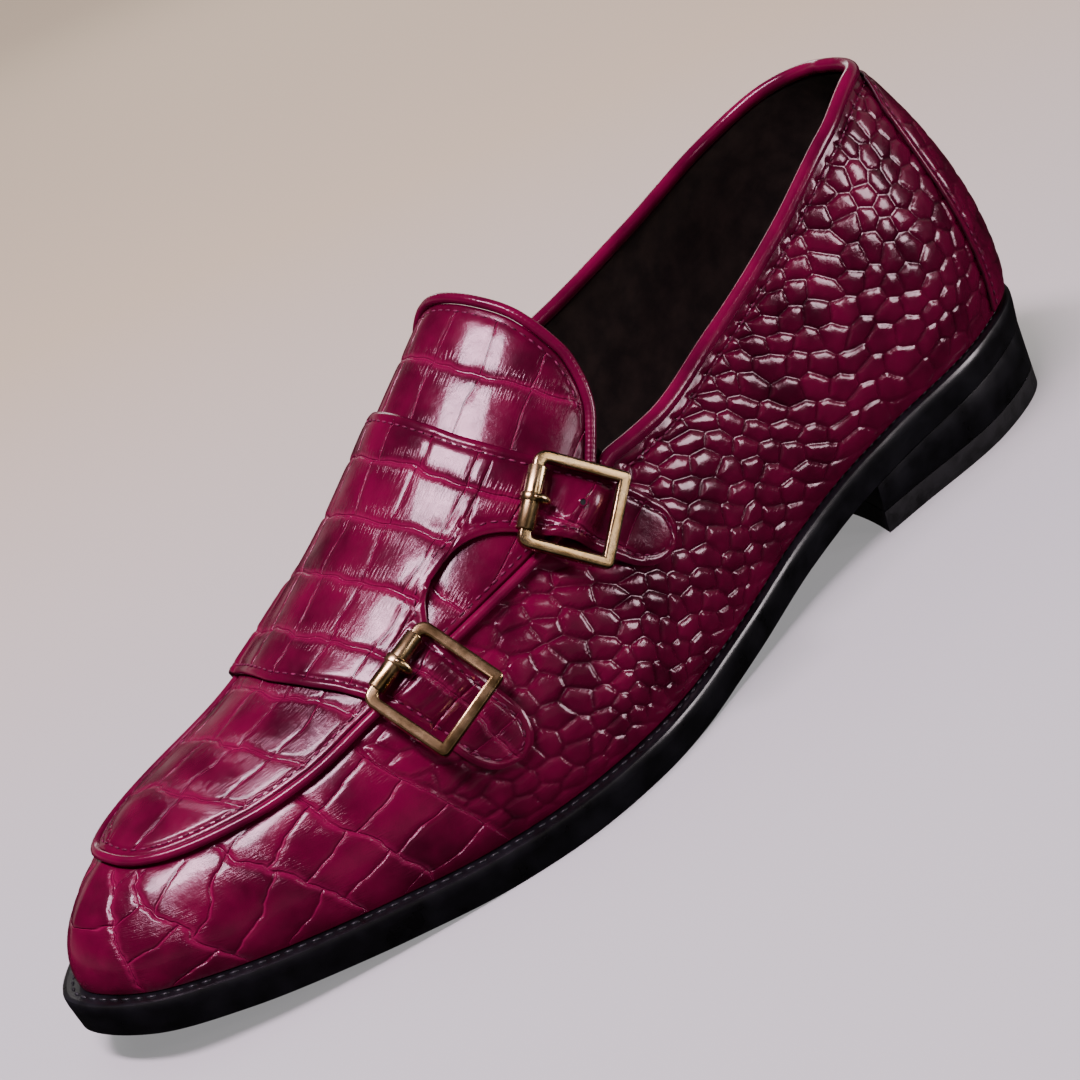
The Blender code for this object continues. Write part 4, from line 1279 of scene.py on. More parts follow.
# %% Layout of the apron
APRON_MARGIN = 1.25
PLUG_THICKNESS = 1.3
APRON_SEAM = 1.6
TONGUE_END = np.array([  # share of the way across, tau
    (-1.00, 0.495), (-0.90, 0.480), (-0.80, 0.468), (-0.60, 0.456), (-0.40, 0.4495), (-0.20, 0.4435),
    (0.00, 0.4395), (0.20, 0.4365), (0.40, 0.4335), (0.60, 0.4355), (0.70, 0.441), (0.79, 0.450),
    (0.85, 0.460), (0.91, 0.474), (1.00, 0.495),
])
APRON_LINES = np.array([
    # w:  -1.0  -0.6   -0.3   0.0    0.15   0.3    0.5    0.75   1.0
    (0.468, 0.470, 0.474, 0.475, 0.475, 0.466, 0.449, 0.440, 0.440),
    (0.520, 0.520, 0.520, 0.520, 0.520, 0.520, 0.520, 0.520, 0.520),
    (0.600, 0.600, 0.600, 0.600, 0.600, 0.600, 0.600, 0.600, 0.600),
    (0.662, 0.662, 0.662, 0.662, 0.660, 0.658, 0.655, 0.655, 0.655),
    (0.700, 0.710, 0.722, 0.722, 0.715, 0.706, 0.693, 0.690, 0.690),
    (0.770, 0.780, 0.789, 0.788, 0.777, 0.765, 0.750, 0.740, 0.740),
    (0.845, 0.855, 0.868, 0.873, 0.856, 0.829, 0.795, 0.780, 0.780),
])
APRON_LANES = [
    (0.335, 0.0, 0.133), (0.340, 0.0, 0.136), (0.300, 0.0, 0.14), (0.285, 0.0, 0.14), (0.225, 0.2, 0.13),
    (0.245, 0.3, 0.145), (0.263, 0.3, 0.160), (0.150, 1.1, 0.42),
]
print("rows of tiles on the apron:", len(APRON_LANES))

# %% [markdown]
# The apron's grid runs from the tongue's end to the toe, and its other direction from the inner
# seam to the outer one. Near the tip the two halves are evened out, so that their edges meet.

# %% Apron
def rim_share(tau, across, margin):
    """w at a share of the way from the ridge to the apron's edge, +1 outer and -1 inner."""
    left = rim(tau, True) - margin / rim_speed(tau, True)
    right = rim(tau, False) - margin / rim_speed(tau, False)
    evening = (right - left) / 2 * smooth(tau, 0.95, 1.0)
    return across * np.where(across >= 0, left + evening, right - evening)


def apron_chart(s, t):
    across = 2 * t - 1
    tau = 1 - (1 - column(TONGUE_END, 1, across)) * (1 - s)
    return tau, rim_share(tau, across, APRON_MARGIN)


def apron_surface(tau, w, patch):
    row_gap, lane_gap, key = tiles(tau, w, APRON_LINES, APRON_LANES, 6.1)
    height, marks = tile_relief(row_gap, lane_gap, key)
    along, _ = speeds(tau, w)
    share = np.clip(w / rim_of(tau, w >= 0), -1, 1)
    from_end = (tau - column(TONGUE_END, 1, share)) * along
    inside = np.minimum(-past_rim(tau, w) - APRON_MARGIN, from_end)
    from_pole = np.linalg.norm(last(tau, w) - last(1.0, 0.0), axis=-1)
    calm = smooth(inside, *PRESSED_FLAT) * smooth(from_pole, 1.0, 4.0)
    height = height * calm + seam_groove(inside - APRON_SEAM, 0.24) - 0.3 * dip(inside, 0.5)
    return skin(tau, w, GAP + PLUG_THICKNESS + height), calmed(marks, calm)


def give_thickness(piece, thickness, under_material=1):
    """Thickens a sheet inwards; material 1 is its cut rim."""
    solid = piece.modifiers.new("thickness", "SOLIDIFY")
    solid.thickness = thickness * MM
    solid.offset = -1.0
    solid.use_even_offset = False
    solid.material_offset = under_material
    solid.material_offset_rim = 1


apron = sheet_mesh("apron_plug", [(300, 110, apron_chart)], apron_surface)
apron_looks = [embossed_calf, cut_edge, napped_lining]
give_thickness(add_piece("apron_plug", apron, apron_looks, "upper_leather", "apron_tongue"), 1.2, 2)

# %% [markdown]
# ## Saddle and straps
#
# One band crosses the instep and is slit on the outer side into two straps. Each of its edges is
# a short table of `tau` at each `w`, and four grids fill it: two up to the slit and one for each
# strap. Where a buckle sits, the strap dips under its bars and swells up between them.

# %% Edges of the saddle
SADDLE_THICKNESS = 1.3
SADDLE_REAR = np.array([  # w, tau
    (-1.00, 0.485), (-0.50, 0.505), (-0.14, 0.510), (0.10, 0.512), (0.20, 0.511), (0.30, 0.506),
    (0.40, 0.497), (0.50, 0.485), (0.60, 0.470), (0.66, 0.461), (0.71, 0.455), (0.745, 0.457), (0.765, 0.468),
])
STRAP_REAR_INNER = np.array([
    (0.315, 0.596), (0.318, 0.582), (0.332, 0.569), (0.370, 0.555), (0.430, 0.543), (0.500, 0.533),
    (0.600, 0.518), (0.680, 0.506), (0.730, 0.494), (0.755, 0.482), (0.765, 0.468),
])
STRAP_FRONT_INNER = np.array([
    (0.315, 0.596), (0.322, 0.606), (0.345, 0.616), (0.380, 0.625), (0.430, 0.629), (0.500, 0.629),
    (0.600, 0.628), (0.680, 0.627), (0.740, 0.631), (0.775, 0.638), (0.790, 0.648),
])
SADDLE_FRONT = np.array([
    (-1.00, 0.675), (-0.50, 0.702), (-0.15, 0.710), (0.00, 0.711), (0.16, 0.704), (0.28, 0.694),
    (0.40, 0.686), (0.50, 0.683), (0.60, 0.680), (0.69, 0.677), (0.74, 0.672), (0.77, 0.665), (0.79, 0.648),
])
SADDLE_SPLIT = np.array([(-1.00, 0.580), (0.00, 0.604), (0.315, 0.596)])
SADDLE_START = -0.985
STRAP_START, REAR_TIP, FRONT_TIP = STRAP_REAR_INNER[0, 0], STRAP_REAR_INNER[-1, 0], STRAP_FRONT_INNER[-1, 0]
UNDER_SADDLE = np.array([  # mm below the rim, height of what the saddle lies on
    (-7.0, 1.9), (-3.0, 2.1), (-1.4, 3.0), (1.4, 3.0), (5.0, 1.6), (12.0, 0.3),
])
BUCKLES = {  # tau, w, height, the strap's direction in tau and w, roll and pitch in degrees
    "upper": (0.511, 0.518, 5.5, -0.026, 0.190, 3.0, 3.0),
    "lower": (0.657, 0.483, 6.2, -0.002, 0.232, -3.0, 0.0),
}


def across_band(first, final, near, far, power=1):
    def chart(s, t):
        w = first + (final - first) * s**power
        a = column(near, 1, w)
        return a + (column(far, 1, w) - a) * t, w
    return chart


print("the slit starts at w", STRAP_START, "and the straps end at", REAR_TIP, "and", FRONT_TIP)

# %% [markdown]
# The saddle's rows of tiles cross the instep too. Near an edge the embossing is pressed flat, so
# `saddle_edges` measures how far away the nearest edge is: the rear, the front or the slit, which
# only the parts beside it can see.

# %% Layout of the saddle
SADDLE_LINES = np.array([
    # w:  -1.0  -0.6   -0.3   0.0    0.15   0.3    0.5    0.75   1.0
    (0.515, 0.530, 0.538, 0.540, 0.538, 0.534, 0.520, 0.492, 0.480),
    (0.548, 0.567, 0.577, 0.578, 0.575, 0.571, 0.566, 0.560, 0.560),
    (0.585, 0.606, 0.619, 0.621, 0.617, 0.613, 0.604, 0.600, 0.600),
    (0.630, 0.652, 0.668, 0.668, 0.663, 0.657, 0.650, 0.652, 0.655),
])
SADDLE_LANES = [
    (0.285, 0.0, 0.125), (0.285, 0.0, 0.133), (0.274, 0.0, 0.133), (0.285, 0.0, 0.133), (0.285, 0.0, 0.132),
]
REAR_STRAP, FRONT_STRAP = 2, 3
SLIT_REACH = 0.25
slit_w = STRAP_START + SLIT_REACH * np.linspace(0, 1, 90) ** 2
SLIT = np.vstack([
    np.stack([column(side, 1, slit_w), slit_w], 1) for side in (STRAP_REAR_INNER, STRAP_FRONT_INNER)
])


def saddle_edges(tau, w, patch):
    """mm to the nearest edge of the saddle: the rear, the front, or the slit."""
    along, across = speeds(tau, w)

    def apart(table, sign):
        lean = (column(table, 1, w + 0.005) - column(table, 1, w - 0.005)) / 0.01
        return sign * slanted(tau - column(table, 1, w), lean, along, across)

    to_slit = np.full(tau.shape, ENDLESS)
    for slit_tau, slit_place in SLIT:
        to_slit = np.minimum(to_slit, np.hypot((w - slit_place) * across, (tau - slit_tau) * along))
    rear = np.where(patch == FRONT_STRAP, ENDLESS, apart(SADDLE_REAR, 1))
    front = np.where(patch == REAR_STRAP, ENDLESS, apart(SADDLE_FRONT, -1))
    slit = np.where(patch == REAR_STRAP, apart(STRAP_REAR_INNER, -1), apart(STRAP_FRONT_INNER, 1))
    slit = np.where(patch < REAR_STRAP, to_slit, slit)
    return np.maximum(np.minimum(np.minimum(rear, front), slit), 0.0)


print("saddle: mm from its middle to its nearest edge", np.round(saddle_edges(np.array([0.6]), 0.0, 0), 1))


# %% [markdown]
# Each strap is threaded through its buckle, so its height has three parts: what lies under it, its
# own thickness, and a swelling inside the buckle with a dent where a bar or the pin presses on it.

# %% Saddle
SADDLE_SEAM = 2.2


def hump(tau, w):
    """How far the straps swell up inside the buckles, and the saddle lifts where it is slit."""
    along, across = speeds(tau, w)
    from_slit = np.hypot((w - STRAP_START) * across, (tau - 0.592) * along)
    rise = 1.3 * dip(from_slit, 10.0)
    for at_tau, at_w, *_ in BUCKLES.values():
        along, across = speeds(np.array(at_tau), np.array(at_w))
        x = (w - at_w) * across
        y = (tau - at_tau) * along
        rise += 2.3 * np.maximum(1 - ((x - 0.3) / 8.2) ** 2, 0.0) ** 1.3 * np.exp(-((y / 8.5) ** 4))
        rise -= 0.35 * dip(x + 4.2, 0.8) * np.exp(-((y / 8.0) ** 4))
        rise -= 0.2 * dip(x - 1.5 + 0.1 * y, 0.7) * np.exp(-((y / 8.0) ** 4))
    return rise


def saddle_top(tau, w):
    """Height of the saddle's outer face without its embossing."""
    return column(UNDER_SADDLE, 1, past_rim(tau, w)) + SADDLE_THICKNESS + hump(tau, w)


def saddle_surface(tau, w, patch):
    row_gap, lane_gap, key = tiles(tau, w, SADDLE_LINES, SADDLE_LANES, 2.4)
    height, marks = tile_relief(row_gap, lane_gap, key)
    inside = saddle_edges(tau, w, patch)
    calm = smooth(inside, *PRESSED_FLAT)
    height = height * calm + seam_groove(inside - SADDLE_SEAM) - 0.4 * dip(inside, 0.6)
    return skin(tau, w, saddle_top(tau, w) + height), calmed(marks, calm)


saddle = sheet_mesh("monk_saddle", [
    (190, 58, across_band(SADDLE_START, STRAP_START, SADDLE_REAR, SADDLE_SPLIT)),
    (190, 58, across_band(SADDLE_START, STRAP_START, SADDLE_SPLIT, SADDLE_FRONT)),
    (110, 58, across_band(STRAP_START, REAR_TIP, SADDLE_REAR, STRAP_REAR_INNER, 1.3)),
    (110, 58, across_band(STRAP_START, FRONT_TIP, STRAP_FRONT_INNER, SADDLE_FRONT, 1.3)),
], saddle_surface)
saddle_piece = add_piece("monk_saddle", saddle, [embossed_calf, cut_edge], "upper_leather", "saddle")
give_thickness(saddle_piece, 1.2)

# %% [markdown]
# ## Backstay
#
# A shaped panel stiffens the heel. Its scales are the quarters' own, pressed less deep, and they
# fade out under the collar.

# %% Backstay
BACKSTAY_EDGE = np.array([(0.00, 0.102), (0.60, 0.098), (0.85, 0.088), (1.00, 0.060)])
BACKSTAY_LOW, BACKSTAY_HIGH = 0.02, 0.975
BACKSTAY_TOP = 1.4
BACKSTAY_SEAM = 2.0
HEEL_WALL = 90.0


def heel_chart(edge_tau, low, high):
    """Panel round the heel: s across it, t up the wall, with its edge at a tau for each height."""
    def chart(s, t):
        across = 2 * s - 1
        up = low + (high - low) * t
        tau = np.abs(across) * edge_tau(up)
        w = 1 - (1 - rim_of(tau, across >= 0)) * up
        return tau, np.where(across >= 0, w, -w)
    return chart


def backstay_edge(up):
    return column(BACKSTAY_EDGE, 1, up)


def backstay_surface(tau, w, patch):
    up = (1 - np.abs(w)) / (1 - rim_of(tau, w >= 0))
    along, _ = speeds(tau, w)
    height, marks = scale_relief(*quarter_scales(tau, w), 0.3)
    from_ends = np.minimum(up - BACKSTAY_LOW, BACKSTAY_HIGH - up) * HEEL_WALL
    inside = np.minimum((backstay_edge(up) - tau) * along, from_ends)
    plain = smooth(inside, 0.5, 4.0) * smooth(0.86 - up, 0.0, 0.12)
    height = height * plain + seam_groove(inside - BACKSTAY_SEAM) - 0.3 * dip(inside, 0.5)
    return skin(tau, w, BACKSTAY_TOP + height), calmed(marks, plain)


backstay_patch = (120, 150, heel_chart(backstay_edge, BACKSTAY_LOW, BACKSTAY_HIGH))
backstay = sheet_mesh("backstay_panel", [backstay_patch], backstay_surface)
backstay_piece = add_piece("backstay_panel", backstay, [embossed_calf, cut_edge], "upper_leather", "backstay")
give_thickness(backstay_piece, 0.85)

# %% [markdown]
# ## Back strip
#
# A narrow dark strip covers the seam that closes the two quarters at the very back. It is plain
# leather, turned down along its edges.

# %% Back strip
STRIP_HALF = 0.016
STRIP_TOP = 2.4


def strip_surface(tau, w, patch):
    along, _ = speeds(tau, w)
    inside = np.maximum((STRIP_HALF - tau) * along, 0.0)
    return skin(tau, w, STRIP_TOP - 0.5 * dip(inside, 0.7)), UNMARKED


strip_patch = (16, 90, heel_chart(lambda up: np.full_like(up, STRIP_HALF), 0.03, 0.985))
strip = sheet_mesh("back_seam_strip", [strip_patch], strip_surface)
strip_piece = add_piece("back_seam_strip", strip, [strip_leather, cut_edge], "strip_leather", "back_strip")
give_thickness(strip_piece, 0.7)

# %% [markdown]
# ## Rolled edges
#
# The topline is bound with a strip of smooth leather that is folded over the rim, the tongue has
# a finely gathered binding, and a corded piping rides on the seam of the apron. All three are
# tubes, so each needs only its path and its outward directions, in even steps.

# %% Collar binding
def both_sides(run):
    tau = np.concatenate([run, run[-2::-1]])
    return tau, np.arange(len(tau)) < len(run)


def on_surface(tau, w, height):
    return skin(tau, w, height), outward(tau, w)


def rim_run(tau, outer, height):
    return on_surface(tau, np.where(outer, rim(tau, True), -rim(tau, False)), height)


def evened(path, outs, step):
    """The path and its outward directions again, at even steps in millimetres."""
    way = travelled(path)
    places = np.linspace(0, way[-1], int(way[-1] / step) + 1)
    path, outs = at_steps(places, way, path), at_steps(places, way, outs)
    return path, outs / np.linalg.norm(outs, axis=1)[:, None]


COLLAR_END = 0.472
path, outs = rim_run(*both_sides(np.linspace(COLLAR_END, 0.0, 160)), -UPPER_WALL / 2 + 0.1)
path[:, 2] += 1.5
path, outs = evened(path, outs, 1.0)
binding = tube_mesh("collar_edge_binding", path, outs, 2.0, 1.75, 16)
add_piece("collar_edge_binding", binding, [plain_calf], "upper_leather", "collar_binding")

# %% [markdown]
# ### Piping of the apron
#
# A cord in a sleeve of leather, laid on the seam. The seam is read most closely at the toe, where
# it bends most, and its small kinks are smoothed out, as a cord would do by itself.

# %% Piping of the apron
def relaxed(path, times):
    """The path with its small kinks smoothed out and its ends kept."""
    for _ in range(times):
        path = np.concatenate([path[:1], (path[:-2] + 2 * path[1:-1] + path[2:]) / 4, path[-1:]])
    return path


def to_toe(first, count):
    """tau from first to the toe and back on the other side, with the closest steps at the toe."""
    return both_sides(1 - (1 - first) * (1 - np.linspace(0, 1, count)) ** 1.3)


path, outs = evened(*rim_run(*to_toe(0.505, 160), 1.1 + GAP), 0.8)
piping = tube_mesh("apron_corded_piping", relaxed(path, 24), outs, 1.15, 1.1, 14)
add_piece("apron_corded_piping", piping, [plain_calf], "upper_leather", "apron_piping")

# %% [markdown]
# ### Tongue binding
#
# The tongue's end is bound like the topline, in leather that is gathered into fine ribs. The path
# is moved out from the end of the tongue by the binding's own half width.

# %% Tongue binding
BINDING_HALF = 1.3
RIB_MM = 1.1
RIB_STEP = 0.27
across = np.linspace(-0.93, 0.93, 200)
tau = column(TONGUE_END, 1, across)
w = rim_share(tau, across, APRON_MARGIN)
path = skin(tau, w, GAP + BINDING_HALF)
outs = path - skin(tau, w)
off = np.cross(outs, np.gradient(path, axis=0))
path = path + off / np.linalg.norm(off, axis=1)[:, None] * BINDING_HALF
path, outs = evened(path, outs, RIB_STEP)
ribs = 1 + 0.012 * np.cos(2 * np.pi * np.arange(len(path)) * RIB_STEP / RIB_MM)
tongue_edge = tube_mesh("tongue_edge_binding", path, outs, BINDING_HALF, 1.25, 12, ribs)
add_piece("tongue_edge_binding", tongue_edge, [plain_calf], "upper_leather", "tongue_binding")

# %% [markdown]
# ## Buckles
#
# Each buckle is a square brass frame with softly bevelled bars. Its far corners are crisp and
# the two by the pin are rounded; a sleeve turns on the bar between them, and the pin's nose
# looks out over the sleeve. All three are made flat on the table, in millimetres, and one matrix
# then lays them on the strap.

# %% Where a buckle lies
BUCKLE_SIDE = 22.0
BAR_WIDTH = 2.6
BAR_HEIGHT = 2.7


def turned(vector, axis, degrees):
    angle = math.radians(degrees)
    return vector * math.cos(angle) + np.cross(axis, vector) * math.sin(angle)


def buckle_place(tau, w, height, tau_step, w_step, roll, pitch):
    """x runs along the strap to the far bar, y across it and z out of it; in metres."""
    taus = np.array([tau, tau + tau_step / 2, tau - tau_step / 2, tau])
    ws = np.array([w, w + w_step / 2, w - w_step / 2, w])
    middle, ahead, behind, raised = skin(taus, ws, np.array([0.0, 0.0, 0.0, 1.0]))
    out = raised - middle
    along = ahead - behind
    along -= out * np.dot(along, out)
    along /= np.linalg.norm(along)
    across = turned(np.cross(out, along), along, roll)
    along = turned(along, across, -pitch)
    place = Matrix((along, across, np.cross(along, across))).transposed().to_4x4()
    place.translation = Vector((middle + out * height - ORIGIN) * MM)
    return place @ Matrix.Scale(MM, 4)


def laid(bm, name, place):
    """The finished mesh of a buckle's part, with its faces outwards and laid in its place."""
    bmesh.ops.recalc_face_normals(bm, faces=bm.faces)
    bmesh.ops.transform(bm, matrix=place, verts=bm.verts)
    return finished(bm, name, 38)


for which, spot in BUCKLES.items():
    print("middle of the", which, "buckle in mm:", np.round(buckle_place(*spot).translation / MM, 1))

# %% [markdown]
# A curve with a bevel would give bars that are round all over, and four corners alike. So the frame
# comes from one flat square: inset, opened in the middle, extruded, and bevelled. The upright
# corners are rounded first, by the pin most, and then the long edges of the bars.

# %% Frame
def sharp_edges(bm, degrees, chosen):
    found = [e for e in bm.edges if len(e.link_faces) == 2 and e.calc_face_angle(0.0) > math.radians(degrees)]
    return [e for e in found if chosen(e)]


def frame_mesh(name, place):
    bm = bmesh.new()
    half = BUCKLE_SIDE / 2
    bmesh.ops.create_grid(bm, x_segments=1, y_segments=1, size=half)
    bmesh.ops.inset_individual(bm, faces=bm.faces[:], thickness=BAR_WIDTH, use_even_offset=True)
    middle = [
        f for f in bm.faces
        if f.calc_center_median().length < 1e-3 and f.calc_area() < (half * 1.7) ** 2
    ]
    bmesh.ops.delete(bm, geom=middle, context="FACES")
    raised = bmesh.ops.extrude_face_region(bm, geom=bm.faces[:], use_keep_orig=True)["geom"]
    above = [item for item in raised if isinstance(item, bmesh.types.BMVert)]
    bmesh.ops.translate(bm, vec=(0, 0, BAR_HEIGHT), verts=above)
    bmesh.ops.translate(bm, vec=(0, 0, -BAR_HEIGHT / 2), verts=bm.verts)
    bmesh.ops.recalc_face_normals(bm, faces=bm.faces)

    def upright(by_pin, outside):
        def chosen(e):
            a, b = (v.co for v in e.verts)
            return abs(a.z - b.z) > 1 and (a.x < 0) == by_pin and (abs(a.x) > half - 1) == outside
        return chosen

    def level(e):
        return abs(e.verts[0].co.z - e.verts[1].co.z) < 0.1

    round_off(bm, sharp_edges(bm, 40, upright(True, True)), 2.8, 6)
    round_off(bm, sharp_edges(bm, 40, upright(False, True)), 1.5, 4)
    round_off(bm, sharp_edges(bm, 40, upright(True, False)), 0.9, 3)
    round_off(bm, sharp_edges(bm, 60, level), 1.1, 5)
    return laid(bm, name, place)


print("frame:", BUCKLE_SIDE, "mm square, with bars", BAR_WIDTH, "by", BAR_HEIGHT, "mm")

# %% [markdown]
# The sleeve is a rod round the bar by the pin. The pin is a short collar on the sleeve with a nose,
# a squeezed ball, that lies over it towards the strap.

# %% Sleeve and pin
BAR_X = -BUCKLE_SIDE / 2 + BAR_WIDTH / 2
SLEEVE_RADIUS = 2.1
SLEEVE_LENGTH = 14.4
SLEEVE_LIFT = 0.15
NOSE_HALF = (2.5, 1.1, 1.05)


def rod(bm, radius, length):
    """Rod along y round the bar, with rounded ends."""
    turn = Matrix.Rotation(math.radians(90), 4, "X")
    made = bmesh.ops.create_cone(
        bm, cap_ends=True, cap_tris=False, segments=28, radius1=radius, radius2=radius, depth=length,
        matrix=Matrix.Translation((BAR_X, 0.0, SLEEVE_LIFT)) @ turn,
    )["verts"]
    edges = {e for v in made for e in v.link_edges if e.calc_face_angle(0.0) > 1.0}
    round_off(bm, list(edges), 0.28, 2)


def sleeve_mesh(name, place):
    bm = bmesh.new()
    rod(bm, SLEEVE_RADIUS, SLEEVE_LENGTH)
    return laid(bm, name, place)


def pin_mesh(name, place):
    bm = bmesh.new()
    rod(bm, SLEEVE_RADIUS + 0.45, 1.9)
    nose = Matrix.Translation((BAR_X + 2.1, 0.0, 1.7)) @ Matrix.Rotation(math.radians(28), 4, "Y")
    nose = nose @ Matrix.Diagonal((*NOSE_HALF, 1.0))
    bmesh.ops.create_uvsphere(bm, u_segments=18, v_segments=12, radius=1.0, matrix=nose)
    return laid(bm, name, place)


print("sleeve:", SLEEVE_LENGTH, "mm long and", 2 * SLEEVE_RADIUS, "mm across")

# %% [markdown]
# ## The punched hole
#
# One hole of the upper strap shows inside its buckle: a low turned-up lip round a well whose floor
# is painted near black as the hole's shade. A disc is inset twice, and its rings are raised and sunk.

# %% Punched hole
HOLE_SIDES = 24
HOLE_TAU, HOLE_W = 0.505, 0.525


def eyelet_mesh(name, place):
    bm = bmesh.new()
    made = bmesh.ops.create_circle(bm, cap_ends=True, segments=HOLE_SIDES, radius=1.05)["verts"]
    bmesh.ops.inset_individual(bm, faces=bm.faces[:], thickness=0.28)
    bmesh.ops.translate(bm, vec=(0, 0, 0.16), verts=[v for v in bm.verts if v not in made])
    lip = [f for f in bm.faces if len(f.verts) == HOLE_SIDES]
    bmesh.ops.inset_individual(bm, faces=lip, thickness=0.1)
    well = [f for f in bm.faces if len(f.verts) == HOLE_SIDES]
    bmesh.ops.translate(bm, vec=(0, 0, -0.3), verts=well[0].verts)
    # The well's floor takes the near-black finish, as painted shade.
    well[0].material_index = 1
    bmesh.ops.transform(bm, matrix=place, verts=bm.verts)
    mesh = bpy.data.meshes.new(name)
    bm.to_mesh(mesh)
    bm.free()
    return mesh


hole_height = float(saddle_top(np.array([HOLE_TAU]), np.array([HOLE_W]))[0]) + 0.3
hole_place = buckle_place(HOLE_TAU, HOLE_W, hole_height, *BUCKLES["upper"][3:])
hole = eyelet_mesh("punched_hole", hole_place)
add_piece("punched_hole", hole, [plain_calf, painted_hole_shade], "upper_leather")

# %% [markdown]
# Now both buckles are put together. Frame and sleeve stand for the buckle's own solid, and the pin
# for the prong's.

# %% Buckles
for which, spot in BUCKLES.items():
    for part, maker, solid in (
        ("frame", frame_mesh, "buckle_"), ("sleeve", sleeve_mesh, "buckle_"), ("pin", pin_mesh, "prong_"),
    ):
        name = "brass_" + part + "_" + which
        add_piece(name, maker(name, buckle_place(*spot)), [aged_brass], "buckle_metal", solid + which)

# %% [markdown]
# ## Stitches
#
# Rows of waxed thread follow the collar, the apron, the tongue, the saddle and its straps, the
# backstay and the welt. Each stitch is a low oval that rests in the groove its thread has made.
# The first rows run beside the rim: one below the collar, and one inside the apron's edge.

# %% Stitches of the collar and the apron
STITCH_DEPTH = 0.16
runs = []


def beside_rim(tau, outer, distance):
    """w at a distance below the rim (or above it, on the apron, where it is negative)."""
    pace = np.where(outer, rim_speed(tau, True), rim_speed(tau, False))
    w = rim_of(tau, outer) + distance / pace
    return np.where(outer, w, -w)


tau, outer = both_sides(np.linspace(THROAT - 0.004, 0.0, 260))
runs.append(on_surface(tau, beside_rim(tau, outer, COLLAR_SEAM), -STITCH_DEPTH))

plug_top = GAP + PLUG_THICKNESS - STITCH_DEPTH
tau, outer = to_toe(0.50, 260)
path, outs = on_surface(tau, beside_rim(tau, outer, -APRON_MARGIN - APRON_SEAM), plug_top)
runs.append((relaxed(path, 12), outs))
print("rows beside the rim:", [round(travelled(path)[-1]) for path, _ in runs], "mm")

# %% [markdown]
# The row along the tongue's end is moved in from an edge that runs slantwise, so each point is
# moved square to the edge, by the edge's lean in millimetres.

# %% Stitches of the tongue
ends = np.linspace(-0.9, 0.9, 200)
tau = column(TONGUE_END, 1, ends)
w = rim_share(tau, ends, APRON_MARGIN)
along, across = speeds(tau, w)
lean = np.gradient(tau * along) / np.gradient(w * across)
step_in = APRON_SEAM / np.sqrt(1 + lean**2)
runs.append(on_surface(tau + step_in / along, w - step_in * lean / across, plug_top))
print("row of the tongue:", round(travelled(runs[-1][0])[-1]), "mm")

# %% [markdown]
# The saddle's rows follow the tables of its edges. `inset_run` moves an edge inwards by a distance
# in millimetres, whatever way the edge runs, and stitches that would come too close to another
# edge are left out, as where a strap narrows to its tip.

# %% Stitches of the saddle and its straps
def inset_run(table, first, final, distance):
    """Points at a distance inside an edge that is noted as tau at each w."""
    w = np.linspace(first, final, 240)
    tau = column(table, 1, w)
    along, across = speeds(tau, w)
    lean = np.gradient(tau, w) * along
    size = np.hypot(lean, across)
    return tau + distance * across / size / along, w - distance * lean / size / across


for table, first, final, inside, patch in (
    (SADDLE_REAR, -0.97, STRAP_START, SADDLE_SEAM, 0),
    (SADDLE_REAR, STRAP_START, REAR_TIP, SADDLE_SEAM, REAR_STRAP),
    (STRAP_REAR_INNER, 0.317, REAR_TIP, -SADDLE_SEAM, REAR_STRAP),
    (STRAP_FRONT_INNER, 0.317, FRONT_TIP, SADDLE_SEAM, FRONT_STRAP),
    (SADDLE_FRONT, STRAP_START, FRONT_TIP, -SADDLE_SEAM, FRONT_STRAP),
    (SADDLE_FRONT, -0.97, STRAP_START, -SADDLE_SEAM, 1),
):
    tau, w = inset_run(table, first, final, inside)
    kept = saddle_edges(tau, w, np.full(tau.shape, patch)) > abs(inside) - 0.15
    tau, w = tau[kept], w[kept]
    runs.append(on_surface(tau, w, saddle_top(tau, w) - STITCH_DEPTH))
print("rows so far:", len(runs))

# %% [markdown]
# Last, the two rows up the sides of the backstay. Then every row is sewn at one pitch.

# %% Burgundy stitches
BURGUNDY_PITCH = 2.5
up = np.linspace(0.03, 0.93, 60)
for side in (1, -1):
    tau = backstay_edge(up) - BACKSTAY_SEAM / SIDE_LENGTH
    w = side * (1 - (1 - rim_of(tau, side > 0)) * up)
    runs.append(on_surface(tau, w, BACKSTAY_TOP - STITCH_DEPTH))

threads = stitch_mesh("burgundy_stitches", runs, BURGUNDY_PITCH, 1.9, 0.55, 0.42)
add_piece("burgundy_stitches", threads, [burgundy_thread], "upper_leather")

# %% [markdown]
# The welt is sewn to the outsole with a thicker black thread, in one row that runs all the way
# round the shoe.

# %% Welt stitches
x, y = round_sole(np.linspace(0, 1, 900), 2.6)
path = np.stack([x, y, underside(x) + SOLE_THICKNESS], -1)
upwards = np.tile([0.0, 0.0, 1.0], (len(path), 1))
welt_threads = stitch_mesh("welt_stitches", [(path, upwards)], 3.0, 2.5, 0.8, 0.55)
add_piece("welt_stitches", welt_threads, [black_thread], "sole_leather")

# %% [markdown]
# ## Floor
#
# A pale sweep of paper carries the shoe. It gives off a little light of its own, so that it stays
# even, and turns from a cool grey beside the shoe to a warmer tone behind it. It is kept out of the
# reflections, as a polarising filter does, because its pale image would lie over the dark dye as a
# grey veil.

# %% Floor
FLOOR_HALF = 60.0
AWAY = (-0.5, -0.87, 0.0)
bm = bmesh.new()
bmesh.ops.create_grid(bm, x_segments=1, y_segments=1, size=FLOOR_HALF)
floor = bpy.data.objects.new("paper_floor", finished(bm, "paper_floor"))
bpy.context.scene.collection.objects.link(floor)
